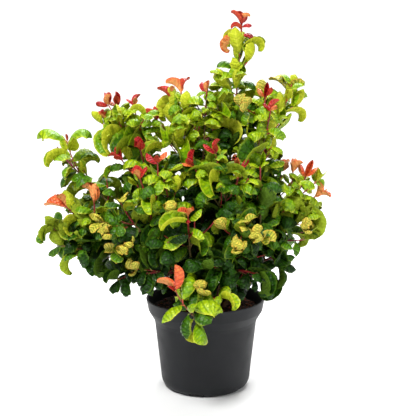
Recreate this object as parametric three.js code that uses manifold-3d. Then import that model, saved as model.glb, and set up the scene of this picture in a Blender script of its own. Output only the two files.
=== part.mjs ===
// A coast leucothoe in a nursery pot: a bushy evergreen with many thin stems, one tall spire and a
// low spray that hangs over the rim. Millimetres, +Z up. The origin is the centre of the pot's flat
// underside and the side seen from the front faces -Y.
import * as THREE from 'three';
import { mergeVertices } from 'three/addons/utils/BufferGeometryUtils.js';
import Module from 'manifold-3d';

const wasm = await Module();
wasm.setup();

// Pot
const POT_HEIGHT = 145;
const RIM_RADIUS = 95;
const RIM_EDGE = 0.8;
const RIM_THICKNESS = 3;
const LIP_HEIGHT = 126;
const LIP_RADIUS = 91.5;
const NECK_HEIGHT = 112;
const NECK_RADIUS = 83;
const WALL_TOP_HEIGHT = 106;
const WALL_TOP_RADIUS = 81.3;
const WALL_FOOT_HEIGHT = 20;
const WALL_FOOT_RADIUS = 71.8;
const WALL = 2.3;
const FOOT_RADIUS = 59;
const FOOT_INNER_RADIUS = 50;
const FOOT_RECESS = 3;
const RECESS_SLOPE = 2;
const PAD_RADIUS = 20;
const FLOOR = 7.4;
const POT_SIDES = 36;
const NOTCHES = 5;
const NOTCH_WIDTH = 22;
const NOTCH_HEIGHT = 5.5;
const NOTCH_LENGTH = 30;
const NOTCH_RADIUS = 62;
const NOTCH_FIRST_ANGLE = THREE.MathUtils.degToRad(-103);

// Potting mix
const SOIL_TOP = 133;
const SOIL_FLAT_RADIUS = 44;
const SOIL_EDGE_DROP = 4;
const SOIL_ROUGHNESS = 3;
const SOIL_SIDES = 20;
const SOIL_GAP = 0.7;
const CLEARANCE = 0.3;
const CUT_CLEARANCE = 0.4;

// Stems: rings crowd towards the foot, which leans out, and the tip turns up
const STEM_SIDES = 6;
const STEM_SEGMENTS = 6;
const STEM_CROWDING = 1.6;
const STEM_LEAN = 0.25;
const STEM_RISE = 0.2;
const STEM_PULL = 0.85;
const STEM_STEPS = 24;
const FLARE = 0.45;
const FLARE_HEIGHT = 9;

// Shoots: pairs are the least and the most of what chance gives
const SHOOT_SIDES = 3;
const SHOOT_SEGMENTS = 4;
const SHOOT_RADIUS = 1.7;
const SHOOT_TIP_RADIUS = 0.9;
const SIDE_SHOOT_THINNER = 0.2;
const SHOOT_PULL = 0.75;
const SHOOT_RISE = 0.45;
const LEADER_TURN = 0.9;
const SIDE_TURN = 0.8;
const SIDE_FORK = [0.12, 0.42];
const SIDE_REACH = [0.85, 1.15];
const SIDE_LAG = [0.35, 1.05];
const SIDE_JITTER = [-0.3, 0.3];
const TRIES = 6;
const SHOOT_TRY_TURN = 0.5;

// Leaves: widths, drop and thickness are parts of the length, pitch is in degrees, curl, roll and
// jitter in radians; the curl tightens towards the tip, and a few leaves curl in instead of out
const LEAF_LENGTH = 59;
const LEAF_WIDTH = 0.8;
const LEAF_WIDEST = 0.46;
const LEAF_DROP = 0.08;
const LEAF_THICKNESS = 0.035;
const LEAF_SIZE = [0.88, 1.12];
const LEAF_PITCH = [28, 60];
const LEAF_CURL = [2.3, 3.7];
const LEAF_HOOK = 0.5;
const HOOK_POWER = 2.6;
const LEAF_BENDS = 16;
const LEAF_ROLL = [-0.7, 0.7];
const INCURVED_SHARE = 0.1;
const INCURVED = -0.35;
const LEAF_JITTER = [-0.25, 0.25];
const LEAF_RISE = 0.12;
const FACE_ALONG = 0.9;
const FACE_RISE = 0.75;
const LEAF_TRY_TURN = 0.45;
const LEAF_TRY_PITCH = 6;
const LEAF_GAP = 0.1;
const GOLDEN_ANGLE = THREE.MathUtils.degToRad(137.50776);

// Young leaves at a shoot's tip are smaller, steeper and straighter; a flush of them stands close
// together, over a bare neck
const YOUNGEST = 14;
const YOUNG_RANGE = 36;
const YOUNG_LOSS = 0.4;
const YOUNG_STRETCH = 26;
const GROWING_STRETCH = 46;
const GROWING_POWER = 0.8;
const YOUNG_PITCH = 16;
const YOUNG_CURL = 0.55;
const FIRST_LEAF = 2;
const FLUSH_LEAVES = 2;
const FLUSH_STEP = 4;
const NECK = 13;
const BARE_STRETCH = 10;
const SIDE_LEAFY = 0.85;
const TIP_STEP = 9;
const LEAF_STEP = 25;
const STEP_STRETCH = 60;
const UP = new THREE.Vector3(0, 0, 1);

// Each stem: its name, its foot on the potting mix, its tip, and its radius at the foot and at the tip
const STEMS = [
  ['stem_spire', [6, 2], [35, 8, 330], 4.2, 2],
  ['stem_upper_right', [22, 10], [80, 14, 335], 4, 1.9],
  ['stem_right', [33, -3], [95, -8, 235], 3.6, 1.8],
  ['stem_lower_right', [28, -18], [85, -30, 205], 3.2, 1.6],
  ['stem_upper_middle', [-5, -8], [-5, -4, 330], 4, 1.9],
  ['stem_upper_left', [-16, 8], [-90, 16, 330], 4.2, 2],
  ['stem_far_left', [-31, 6], [-130, -4, 270], 4, 1.9],
  ['stem_left', [-33, -8], [-130, -28, 230], 3.8, 1.8],
  ['stem_front_left', [-22, -20], [-72, -62, 250], 3.6, 1.8],
  ['stem_front', [-8, -27], [-22, -66, 225], 3.4, 1.7],
  ['stem_front_right', [12, -27], [48, -62, 240], 3.6, 1.8],
  ['stem_back', [-6, 28], [-14, 78, 265], 3.8, 1.9],
  ['stem_back_left', [-24, 24], [-84, 72, 255], 3.8, 1.9],
  ['stem_back_right', [18, 28], [72, 66, 250], 3.8, 1.9],
].map(([name, foot, tip, base, end]) => ({ name, foot, tip, base, end }));

// Each mass of foliage: its name, its stem and how far up it the mass starts, the tip of its leading
// shoot, the number of shoots, how far their tips spread and the angle of the first, the length that
// bears leaves, how much the tips rise, the length of the youngest leaf, a seed and a tint
const MASSES = [
  ['spire', 'stem_spire', 1, [56, 8, 575], 1, 0, 0, 215, 2.2, 15, 2, 'lime'],
  ['upper_right', 'stem_upper_right', 1, [132, 16, 474], 2, 36, 180, 130, 1.4, 32, 2, 'lime'],
  ['inner_right', 'stem_upper_right', 0.7, [92, -14, 464], 2, 34, 300, 110, 1.2, 17, 3, 'lime'],
  ['right', 'stem_right', 1, [157, -8, 340], 3, 34, 180, 110, 1, 24, 3, 'lime'],
  ['right_low', 'stem_right', 0.7, [154, -16, 280], 3, 30, 0, 95, 0.5, 34, 2, 'green'],
  ['lower_right', 'stem_lower_right', 1, [114, -42, 222], 3, 32, 0, 80, -0.2, 36, 2, 'dark'],
  ['right_front', 'stem_lower_right', 0.8, [82, -66, 362], 2, 30, 180, 110, 1.2, 22, 3, 'green'],
  ['upper_middle', 'stem_upper_middle', 1, [2, 0, 472], 3, 30, 0, 130, 1.6, 15, 8, 'lime'],
  ['upper_left_inner', 'stem_upper_middle', 0.7, [-52, -8, 462], 2, 34, 180, 120, 1.3, 17, 2, 'lime'],
  ['upper_left', 'stem_upper_left', 1, [-140, 18, 451], 3, 26, 0, 115, 1.4, 15, 3, 'lime'],
  ['middle_left', 'stem_upper_left', 0.75, [-98, -44, 386], 2, 32, 180, 105, 1.2, 17, 6, 'green'],
  ['far_left', 'stem_far_left', 1, [-230, -8, 386], 3, 28, 0, 110, 1, 40, 7, 'lime'],
  ['left_back', 'stem_far_left', 0.8, [-182, 58, 314], 2, 38, 180, 100, 0.8, 36, 13, 'green'],
  ['left', 'stem_left', 1, [-214, -38, 298], 3, 36, 0, 100, 0.8, 24, 2, 'lime'],
  ['low_left', 'stem_left', 0.75, [-206, -34, 256], 3, 30, 0, 85, 0.5, 36, 3, 'green'],
  ['low_left_front', 'stem_left', 0.55, [-118, -60, 206], 2, 32, 0, 80, 0, 36, 2, 'dark'],
  ['front_left', 'stem_front_left', 1, [-152, -92, 282], 3, 34, 0, 90, 0.8, 24, 8, 'green'],
  ['front_left_upper', 'stem_front_left', 0.85, [-70, -78, 370], 3, 32, 0, 110, 1.3, 17, 17, 'lime'],
  ['front_middle', 'stem_front', 1, [-25, -112, 294], 3, 36, 0, 95, 1, 20, 18, 'lime'],
  ['front_low_left', 'stem_front', 0.7, [-88, -92, 205], 3, 36, 0, 75, 0.1, 36, 19, 'dark'],
  ['front_hanging', 'stem_front', 0.55, [-5, -126, 128], 3, 34, 0, 90, -1.6, 30, 20, 'lime'],
  ['front_tip', 'stem_front', 0.35, [-44, -130, 196], 1, 0, 0, 70, 0.9, 26, 33, 'lime'],
  ['front_right', 'stem_front_right', 1, [58, -110, 282], 3, 28, 0, 90, 0.8, 22, 21, 'green'],
  ['front_upper', 'stem_front_right', 0.85, [15, -72, 385], 3, 32, 0, 110, 1.4, 16, 22, 'lime'],
  ['front_low_right', 'stem_front_right', 0.6, [78, -96, 205], 2, 34, 0, 75, 0, 36, 23, 'dark'],
  ['front_low_middle', 'stem_front_right', 0.45, [8, -100, 222], 3, 38, 0, 75, 0.2, 36, 32, 'dark'],
  ['back', 'stem_back', 1, [-10, 130, 392], 3, 44, 0, 120, 1.2, 20, 24, 'green'],
  ['back_top', 'stem_back', 0.8, [20, 58, 435], 2, 36, 0, 120, 1.5, 18, 25, 'lime'],
  ['back_low', 'stem_back', 0.6, [-4, 160, 268], 3, 44, 0, 95, 0.6, 36, 26, 'dark'],
  ['back_left', 'stem_back_left', 1, [-115, 104, 362], 3, 40, 0, 115, 1.1, 22, 27, 'green'],
  ['back_left_low', 'stem_back_left', 0.7, [-122, 134, 244], 3, 44, 0, 95, 0.5, 36, 28, 'dark'],
  ['back_right', 'stem_back_right', 1, [90, 106, 362], 3, 38, 0, 115, 1.1, 20, 29, 'green'],
  ['back_right_low', 'stem_back_right', 0.7, [114, 108, 252], 3, 40, 0, 95, 0.5, 36, 30, 'dark'],
].map(([name, stem, part, tip, shoots, spread, turn, leafy, rise, young, seed, tint]) => ({
  name: `foliage_${name}`, stem, along: part, tip, shoots, spread, turn, leafy, rise, young, seed, tint,
}));
const LEAF_COLORS = { lime: 0xa9bd2c, green: 0x5f8f22, dark: 0x2c5a1c };

// A chance number from 0 up to 1 that depends on whole numbers only
function chance(...keys) {
  let h = 2166136261;
  for (const key of keys) {
    h = Math.imul(h ^ key, 16777619);
  }
  h ^= h >>> 16;
  h = Math.imul(h, 0x7feb352d);
  h ^= h >>> 15;
  h = Math.imul(h, 0x846ca68b);
  h ^= h >>> 16;
  return (h >>> 0) / 4294967296;
}

// A chance number between a least and a most
function between([least, most], ...keys) {
  return least + (most - least) * chance(...keys);
}

// A closed solid from a three.js geometry
function solidOf(geometry) {
  geometry.deleteAttribute('normal');
  geometry.deleteAttribute('uv');
  const merged = mergeVertices(geometry);
  return new wasm.Manifold(new wasm.Mesh({
    numProp: 3,
    vertProperties: new Float32Array(merged.attributes.position.array),
    triVerts: new Uint32Array(merged.index.array),
  }));
}

// A three.js geometry from a closed solid
function geometryOf(solid) {
  const mesh = solid.getMesh();
  const geometry = new THREE.BufferGeometry();
  geometry.setAttribute('position', new THREE.BufferAttribute(mesh.vertProperties, 3));
  geometry.setIndex(new THREE.BufferAttribute(mesh.triVerts, 1));
  geometry.computeVertexNormals();
  return geometry;
}

// A solid of revolution about Z from a list of [radius, height]
function turned(profile, sides) {
  const points = profile.map(([radius, height]) => new THREE.Vector2(radius, height));
  return new THREE.LatheGeometry(points, sides).rotateX(Math.PI / 2);
}

// The quarter round between a level bottom and the foot of a wall
function footCorner(wallRadius, bottom, segments) {
  const points = [];
  for (let i = 0; i <= segments; i += 1) {
    const turn = (Math.PI / 2) * (i / segments);
    points.push([
      FOOT_RADIUS + (wallRadius - FOOT_RADIUS) * Math.sin(turn),
      WALL_FOOT_HEIGHT - (WALL_FOOT_HEIGHT - bottom) * Math.cos(turn),
    ]);
  }
  return points;
}

// The pot, with its thin rim, recessed underside and drain notches
function makePot() {
  const profile = [
    [0, 0],
    [PAD_RADIUS, 0],
    [PAD_RADIUS + RECESS_SLOPE, FOOT_RECESS],
    [FOOT_INNER_RADIUS - RECESS_SLOPE, FOOT_RECESS],
    [FOOT_INNER_RADIUS, 0],
    ...footCorner(WALL_FOOT_RADIUS, 0, 4),
    [WALL_TOP_RADIUS, WALL_TOP_HEIGHT],
    [NECK_RADIUS, NECK_HEIGHT],
    [LIP_RADIUS, LIP_HEIGHT],
    [RIM_RADIUS, POT_HEIGHT - RIM_EDGE],
    [RIM_RADIUS - RIM_EDGE, POT_HEIGHT],
    [RIM_RADIUS - RIM_THICKNESS, POT_HEIGHT],
    [LIP_RADIUS - WALL, LIP_HEIGHT],
    [NECK_RADIUS - WALL, NECK_HEIGHT],
    [WALL_TOP_RADIUS - WALL, WALL_TOP_HEIGHT],
    ...footCorner(WALL_FOOT_RADIUS - WALL, FLOOR, 2).reverse(),
    [0, FLOOR],
  ];
  let pot = solidOf(turned(profile, POT_SIDES));
  for (let i = 0; i < NOTCHES; i += 1) {
    const notch = new THREE.BoxGeometry(NOTCH_LENGTH, NOTCH_WIDTH, 2 * NOTCH_HEIGHT);
    notch.translate(NOTCH_RADIUS, 0, 0);
    notch.rotateZ(NOTCH_FIRST_ANGLE + (2 * Math.PI * i) / NOTCHES);
    pot = pot.subtract(solidOf(notch));
  }
  return pot;
}

// The potting mix, clear of the pot, flat where the stems stand and rough further out
function makeSoil() {
  const inset = WALL + SOIL_GAP;
  const edge = LIP_RADIUS - inset;
  const profile = [
    [0, FLOOR + CUT_CLEARANCE],
    ...footCorner(WALL_FOOT_RADIUS - inset, FLOOR + CUT_CLEARANCE, 2),
    [WALL_TOP_RADIUS - inset, WALL_TOP_HEIGHT],
    [NECK_RADIUS - inset, NECK_HEIGHT],
    [edge, LIP_HEIGHT],
  ];
  for (let i = 0; i <= 3; i += 1) {
    const share = i / 3;
    profile.push([edge + (SOIL_FLAT_RADIUS - edge) * share, SOIL_TOP - SOIL_EDGE_DROP * (1 - share) ** 2]);
  }
  profile.push([0, SOIL_TOP]);
  const geometry = turned(profile, SOIL_SIDES);
  const position = geometry.attributes.position;
  for (let i = 0; i < position.count; i += 1) {
    const x = position.getX(i);
    const y = position.getY(i);
    const onTop = position.getZ(i) > SOIL_TOP - SOIL_EDGE_DROP;
    if (onTop && Math.hypot(x, y) > SOIL_FLAT_RADIUS + 1) {
      position.setZ(i, position.getZ(i) - SOIL_ROUGHNESS * chance(Math.round(x), Math.round(y)));
    }
  }
  return solidOf(geometry);
}

// Points along a smooth bend from one point and direction to another
function bend(start, startAim, end, endAim, pull, segments) {
  const reach = start.distanceTo(end) * pull;
  const points = [];
  for (let i = 0; i <= segments; i += 1) {
    const t = i / segments;
    const point = start.clone().multiplyScalar(2 * t ** 3 - 3 * t ** 2 + 1);
    point.addScaledVector(startAim, reach * (t ** 3 - 2 * t ** 2 + t));
    point.addScaledVector(end, -2 * t ** 3 + 3 * t ** 2);
    point.addScaledVector(endAim, reach * (t ** 3 - t ** 2));
    points.push(point);
  }
  return points;
}

// The same points with the length walked up to each
function measured(points) {
  const walked = [0];
  for (let i = 1; i < points.length; i += 1) {
    walked.push(walked[i - 1] + points[i].distanceTo(points[i - 1]));
  }
  return { points, walked, length: walked[walked.length - 1] };
}

// The place and direction at a length along the line
function along(line, length) {
  const a = Math.min(Math.max(length, 0), line.length);
  let i = 0;
  while (i < line.points.length - 2 && line.walked[i + 1] <= a) i += 1;
  const share = (a - line.walked[i]) / (line.walked[i + 1] - line.walked[i]);
  const place = line.points[i].clone().lerp(line.points[i + 1], share);
  const aim = line.points[i + 1].clone().sub(line.points[i]).normalize();
  return { place, aim };
}

// Two directions square to the one given
function square(aim) {
  const other = Math.abs(aim.x) < 0.8 ? new THREE.Vector3(1, 0, 0) : new THREE.Vector3(0, 1, 0);
  const first = new THREE.Vector3().crossVectors(aim, other).normalize();
  return [first, new THREE.Vector3().crossVectors(aim, first)];
}

// A tapering round limb through the points, its first end cut square to firstAim
function limb(points, radii, sides, firstAim) {
  const segments = points.length - 1;
  const geometry = new THREE.CylinderGeometry(1, 1, 1, sides, segments);
  const across = [];
  const other = [];
  let turn = square(points[1].clone().sub(points[0]).normalize())[0];
  for (let i = 0; i <= segments; i += 1) {
    const before = points[Math.max(i - 1, 0)];
    const after = points[Math.min(i + 1, segments)];
    const aim = i === 0 ? firstAim.clone() : after.clone().sub(before).normalize();
    turn = turn.clone().addScaledVector(aim, -turn.dot(aim)).normalize();
    across.push(turn);
    other.push(new THREE.Vector3().crossVectors(turn, aim));
  }
  const position = geometry.attributes.position;
  for (let i = 0; i < position.count; i += 1) {
    const ring = Math.round((position.getY(i) + 0.5) * segments);
    const point = points[ring].clone();
    point.addScaledVector(across[ring], position.getX(i) * radii[ring]);
    point.addScaledVector(other[ring], position.getZ(i) * radii[ring]);
    position.setXYZ(i, point.x, point.y, point.z);
  }
  return solidOf(geometry);
}

// The line of a stem, from its foot on the potting mix, leaning out as it rises
function stemLine(stem) {
  const foot = new THREE.Vector3(stem.foot[0], stem.foot[1], SOIL_TOP + CLEARANCE);
  const tip = new THREE.Vector3(...stem.tip);
  const lean = new THREE.Vector3(tip.x - foot.x, tip.y - foot.y, 0).normalize();
  const startAim = UP.clone().addScaledVector(lean, STEM_LEAN).normalize();
  const endAim = tip.clone().sub(foot).normalize().addScaledVector(UP, STEM_RISE).normalize();
  return measured(bend(foot, startAim, tip, endAim, STEM_PULL, STEM_STEPS));
}

// A stem with its true taper and a flared foot; extra widens it all round
function stemSolid(stem, extra) {
  const points = [];
  const radii = [];
  for (let i = 0; i <= STEM_SEGMENTS; i += 1) {
    const share = (i / STEM_SEGMENTS) ** STEM_CROWDING;
    const walked = share * stem.line.length;
    const radius = stem.base + (stem.end - stem.base) * share;
    points.push(along(stem.line, walked).place);
    radii.push(radius * (1 + FLARE * Math.exp(-walked / FLARE_HEIGHT)) + extra);
  }
  return limb(points, radii, STEM_SIDES, UP);
}

// The line of one shoot of a mass: its leading shoot is number 0, and the rest fork from that; a new
// try turns a side shoot further round
function shootLine(mass, k, leader, turns) {
  const { seed, spread } = mass;
  const tip = new THREE.Vector3(...mass.tip);
  const { place: root, aim } = along(mass.stem.line, mass.stem.line.length * mass.along);
  if (mass.along < 1) {
    aim.addScaledVector(tip.clone().sub(root).normalize(), LEADER_TURN).normalize();
  } else {
    root.addScaledVector(aim, CLEARANCE);
  }
  let start = root;
  let startAim = aim;
  let end = tip;
  if (k > 0) {
    const out = tip.clone().sub(root).normalize();
    const depth = Math.abs(out.y) > 0.85 ? new THREE.Vector3(1, 0, 0) : new THREE.Vector3(0, 1, 0);
    depth.addScaledVector(out, -out.dot(depth)).normalize();
    const side = new THREE.Vector3().crossVectors(depth, out);
    const first = THREE.MathUtils.degToRad(mass.turn) + (2 * Math.PI * (k - 1)) / (mass.shoots - 1);
    const angle = first + between(SIDE_JITTER, seed, k, 7) + SHOOT_TRY_TURN * turns;
    const reach = spread * between(SIDE_REACH, seed, k, 1);
    end = tip.clone().addScaledVector(side, reach * Math.cos(angle));
    end.addScaledVector(depth, reach * Math.sin(angle));
    end.addScaledVector(out, -spread * between(SIDE_LAG, seed, k, 2));
    const fork = along(leader, leader.length * between(SIDE_FORK, seed, k, 3));
    start = fork.place;
    startAim = fork.aim.addScaledVector(end.clone().sub(start).normalize(), SIDE_TURN).normalize();
  }
  const endAim = end.clone().sub(start).normalize();
  endAim.addScaledVector(UP, SHOOT_RISE * mass.rise).normalize();
  return { ...measured(bend(start, startAim, end, endAim, SHOOT_PULL, SHOOT_SEGMENTS)), startAim };
}

// A tapering shoot of three sides along its line
function shootSolid(line, k) {
  const radii = line.points.map((point, i) => {
    const thinner = k > 0 ? SIDE_SHOOT_THINNER : 0;
    return SHOOT_RADIUS + (SHOOT_TIP_RADIUS - SHOOT_RADIUS) * (i / SHOOT_SEGMENTS) - thinner;
  });
  return limb(line.points, radii, SHOOT_SIDES, line.startAim);
}

// The leaves of one shoot from its tip down: where each grows, how it aims, its size and its curl
function leavesOn(line, mass, k) {
  const { seed, young } = mass;
  const leaves = [];
  const leafy = Math.min(mass.leafy * (k === 0 ? 1 : SIDE_LEAFY), line.length - BARE_STRETCH);
  const phase = 2 * Math.PI * chance(seed, k, 4);
  const loss = (YOUNG_LOSS * (young - YOUNGEST)) / YOUNG_RANGE;
  let below = FIRST_LEAF;
  for (let j = 0; below < leafy; j += 1) {
    const grown = Math.min(1, (below / GROWING_STRETCH) ** GROWING_POWER);
    const youth = Math.max(0, 1 - below / YOUNG_STRETCH) * (1 - loss);
    const turnedIn = chance(seed, k, j, 11) < INCURVED_SHARE ? INCURVED : 1;
    leaves.push({
      ...along(line, line.length - below),
      round: phase + GOLDEN_ANGLE * j + between(LEAF_JITTER, seed, k, j, 6),
      length: (young + (LEAF_LENGTH - young) * grown) * between(LEAF_SIZE, seed, k, j, 5),
      pitch: between(LEAF_PITCH, seed, k, j, 8) - YOUNG_PITCH * youth,
      curl: between(LEAF_CURL, seed, k, j, 9) * (1 - YOUNG_CURL * youth) * turnedIn,
      roll: between(LEAF_ROLL, seed, k, j, 10),
    });
    if (j < FLUSH_LEAVES - 1) {
      below += FLUSH_STEP;
    } else if (j === FLUSH_LEAVES - 1) {
      below += NECK;
    } else {
      below += TIP_STEP + (LEAF_STEP - TIP_STEP) * Math.min(1, below / STEP_STRETCH);
    }
  }
  return leaves;
}

// How far each new try turns: to one side and the other by turns, each time further
function turnsOf(attempt) {
  return attempt % 2 ? attempt : -attempt;
}

// One curled leaf of eight faces; each new try turns it further round its shoot and closer to it
function leafSolid(leaf, attempt) {
  const [first, second] = square(leaf.aim);
  const round = leaf.round + LEAF_TRY_TURN * turnsOf(attempt);
  const outward = first.multiplyScalar(Math.cos(round)).addScaledVector(second, Math.sin(round));
  const pitch = THREE.MathUtils.degToRad(leaf.pitch - LEAF_TRY_PITCH * attempt);
  const ahead = leaf.aim.clone().multiplyScalar(Math.cos(pitch));
  ahead.addScaledVector(outward, Math.sin(pitch)).addScaledVector(UP, LEAF_RISE).normalize();
  let face = leaf.aim.clone().multiplyScalar(FACE_ALONG).addScaledVector(UP, FACE_RISE);
  face.addScaledVector(ahead, -face.dot(ahead));
  if (face.length() < 0.15) {
    face = leaf.aim.clone().addScaledVector(ahead, -ahead.dot(leaf.aim));
  }
  face.normalize();
  const beside = new THREE.Vector3().crossVectors(ahead, face);
  face = face.multiplyScalar(Math.cos(leaf.roll)).addScaledVector(beside, Math.sin(leaf.roll)).normalize();
  const sideways = new THREE.Vector3().crossVectors(face, ahead);
  const turnAt = (share) => leaf.curl * ((1 - LEAF_HOOK) * share + LEAF_HOOK * share ** HOOK_POWER);
  const midrib = (share) => {
    const point = leaf.place.clone();
    for (let i = 0; i < LEAF_BENDS; i += 1) {
      const turn = turnAt((share * (i + 0.5)) / LEAF_BENDS);
      point.addScaledVector(ahead, (leaf.length * share * Math.cos(turn)) / LEAF_BENDS);
      point.addScaledVector(face, (-leaf.length * share * Math.sin(turn)) / LEAF_BENDS);
    }
    return point;
  };
  const middle = midrib(LEAF_WIDEST);
  const bent = turnAt(LEAF_WIDEST);
  const above = face.clone().multiplyScalar(Math.cos(bent)).addScaledVector(ahead, Math.sin(bent));
  const edge = middle.clone().addScaledVector(above, -LEAF_DROP * leaf.length);
  const half = (LEAF_WIDTH * leaf.length) / 2;
  const corner = (x, y, z) => {
    if (x < -0.5) return leaf.place;
    if (x > 0.5) return midrib(1);
    if (Math.abs(y) > 0.5) return edge.clone().addScaledVector(sideways, y * half);
    return middle.clone().addScaledVector(above, z > 0 ? LEAF_THICKNESS * leaf.length : 0);
  };
  const geometry = new THREE.OctahedronGeometry(1, 0);
  const position = geometry.attributes.position;
  for (let i = 0; i < position.count; i += 1) {
    const point = corner(position.getX(i), position.getY(i), position.getZ(i));
    position.setXYZ(i, point.x, point.y, point.z);
  }
  return solidOf(geometry);
}

// A solid with its bounding box, its node and, on a twig or leaf, the number of its shoot
function boxed(solid, owner, shoot) {
  const { min, max } = solid.boundingBox();
  return { solid, owner, shoot, min, max };
}

// Whether a solid comes too near any of the others, apart from those that the test lets it meet
function crowded(item, others, mayMeet) {
  return others.some((other) => {
    if (mayMeet(other)) return false;
    const gap = other.owner === item.owner ? LEAF_GAP : CLEARANCE;
    for (let axis = 0; axis < 3; axis += 1) {
      if (item.min[axis] - gap > other.max[axis] || other.min[axis] - gap > item.max[axis]) return false;
    }
    return item.solid.minGap(other.solid, gap) < gap;
  });
}

// The largest closed body of a solid: loose scraps and sealed hollows are left out
function mainBody(solid) {
  const bodies = solid.decompose();
  bodies.sort((a, b) => b.volume() - a.volume());
  return bodies[0];
}

const group = new THREE.Group();
group.name = 'potted_coast_leucothoe';

function addNode(name, solid, color, roughness) {
  const material = new THREE.MeshStandardMaterial({ color, roughness, metalness: 0 });
  const mesh = new THREE.Mesh(geometryOf(solid), material);
  mesh.name = name;
  group.add(mesh);
}

const potSolid = makePot();
const soilSolid = makeSoil();
const limbs = [boxed(potSolid, 'pot'), boxed(soilSolid, 'potting_mix')];
const twigs = [];
const leaves = [];

// The shoots of a mass; the leading one is cut clear of the stem that it forks from
function placeShoots(mass) {
  const seat = stemSolid(mass.stem, CUT_CLEARANCE);
  for (let k = 0; k < mass.shoots; k += 1) {
    for (let attempt = 0; attempt < TRIES; attempt += 1) {
      const line = shootLine(mass, k, mass.lines[0]?.line, turnsOf(attempt));
      let solid = shootSolid(line, k);
      if (k === 0 && mass.along < 1) solid = mainBody(solid.subtract(seat));
      const item = boxed(solid, mass.name, k);
      const ownShoot = (other) => other.owner === mass.name;
      const ownStem = (other) => k === 0 && other.owner === mass.stem.name;
      if (k === 0 || (!crowded(item, twigs, ownShoot) && !crowded(item, limbs, ownStem))) {
        twigs.push(item);
        mass.solids.push(solid);
        mass.lines.push({ line, k });
        break;
      }
    }
  }
}

// The leaves of a mass, each clear of the limbs, of other shoots and of the leaves before it
function placeLeaves(mass) {
  const none = () => false;
  for (const { line, k } of mass.lines) {
    const bearer = (other) => other.owner === mass.name && other.shoot === k;
    for (const leaf of leavesOn(line, mass, k)) {
      for (let attempt = 0; attempt < TRIES; attempt += 1) {
        const solid = leafSolid(leaf, attempt);
        const item = boxed(solid, mass.name, k);
        if (!crowded(item, limbs, none) && !crowded(item, twigs, bearer) && !crowded(item, leaves, none)) {
          leaves.push(item);
          mass.solids.push(solid);
          break;
        }
      }
    }
  }
}

addNode('pot', potSolid, 0x2d2e30, 0.62);
addNode('potting_mix', soilSolid, 0x2a1d16, 0.95);

const stems = {};
for (const plan of STEMS) {
  const stem = { ...plan, line: stemLine(plan) };
  const solid = stemSolid(stem, 0);
  stems[stem.name] = stem;
  limbs.push(boxed(solid, stem.name));
  addNode(stem.name, solid, 0x6f5136, 0.8);
}

// All shoots are placed before the first leaf, so that no leaf takes a shoot's place
const masses = MASSES.map((plan) => ({ ...plan, stem: stems[plan.stem], lines: [], solids: [] }));
masses.forEach(placeShoots);
for (const mass of masses) {
  placeLeaves(mass);
  addNode(mass.name, mainBody(wasm.Manifold.union(mass.solids)), LEAF_COLORS[mass.tint], 0.55);
}

export default group;
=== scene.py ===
"""A coast leucothoe in a nursery pot, dressed around its fixed frame.

Many thin stems rise from the potting mix and bear shoots of thick, curled, glossy leaves: red and
orange at the tips, lime below them, dark green inside. The shoots and leaves grow by one rule from
whole-number seeds. The rule works in millimetres, and the finished pieces are in metres.
"""

import functools
import math

import bpy
import numpy as np
from bpy.props import FloatProperty, FloatVectorProperty, IntProperty, PointerProperty
from bpy.types import Operator, Panel, PropertyGroup
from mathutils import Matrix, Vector, noise


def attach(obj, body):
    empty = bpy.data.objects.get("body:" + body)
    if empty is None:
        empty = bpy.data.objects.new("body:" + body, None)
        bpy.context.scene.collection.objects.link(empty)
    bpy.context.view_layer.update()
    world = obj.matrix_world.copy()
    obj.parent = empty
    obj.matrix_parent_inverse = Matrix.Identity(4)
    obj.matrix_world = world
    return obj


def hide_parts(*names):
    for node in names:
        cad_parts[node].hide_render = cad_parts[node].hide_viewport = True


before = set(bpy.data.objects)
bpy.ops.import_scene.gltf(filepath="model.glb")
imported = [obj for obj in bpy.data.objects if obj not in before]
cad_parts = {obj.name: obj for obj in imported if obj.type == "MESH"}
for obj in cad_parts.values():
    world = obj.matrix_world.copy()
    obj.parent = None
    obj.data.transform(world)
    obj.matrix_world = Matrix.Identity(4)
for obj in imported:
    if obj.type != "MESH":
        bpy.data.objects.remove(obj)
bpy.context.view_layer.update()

bl_info = {
    "name": "Potted coast leucothoe",
    "version": (1, 0, 0),
    "blender": (4, 5, 0),
    "location": "View3D > Sidebar > Leucothoe",
    "description": "Builds a potted coast leucothoe with curled leaves around its fixed frame",
    "category": "Add Mesh",
}

MM = 0.001
UP = np.array([0.0, 0.0, 1.0])
GOLDEN_ANGLE = math.radians(137.50776)

# What chance numbers are mixed from
WORD = 0xFFFFFFFF
MIX_START = 2166136261
MIX_FACTOR = 16777619
MIX_ROUNDS = ((0x7FEB352D, 15), (0x846CA68B, 16))

# Pot, as in the frame
POT_HEIGHT = 145
RIM_RADIUS = 95
RIM_THICKNESS = 3
LIP_HEIGHT = 126
LIP_RADIUS = 91.5
NECK_HEIGHT = 112
NECK_RADIUS = 83
WALL_TOP_HEIGHT = 106
WALL_TOP_RADIUS = 81.3
WALL_FOOT_HEIGHT = 20
WALL_FOOT_RADIUS = 71.8
WALL = 2.3
FOOT_RADIUS = 59
FOOT_INNER_RADIUS = 50
FOOT_RECESS = 3
PAD_RADIUS = 20
POT_FLOOR = 7.4
NOTCHES = 5
NOTCH_WIDTH = 22
NOTCH_HEIGHT = 5.5
NOTCH_LENGTH = 30
NOTCH_RADIUS = 62
NOTCH_FIRST_ANGLE = math.radians(-103)
RIM_EDGE = 0.8
CORNER_ROOM = 2.2
PAD_SLOPE = 2
FOOT_STEPS = 12
INNER_FOOT_STEPS = 6
POT_SMOOTH = 40

# Corners and faces of the box that cuts a drain notch
BOX_CORNERS = [(x, y, z) for z in (-1, 1) for y in (-1, 1) for x in (-1, 1)]
BOX_FACES = [(0, 2, 3, 1), (4, 5, 7, 6), (0, 1, 5, 4), (2, 6, 7, 3), (0, 4, 6, 2), (1, 3, 7, 5)]

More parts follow.
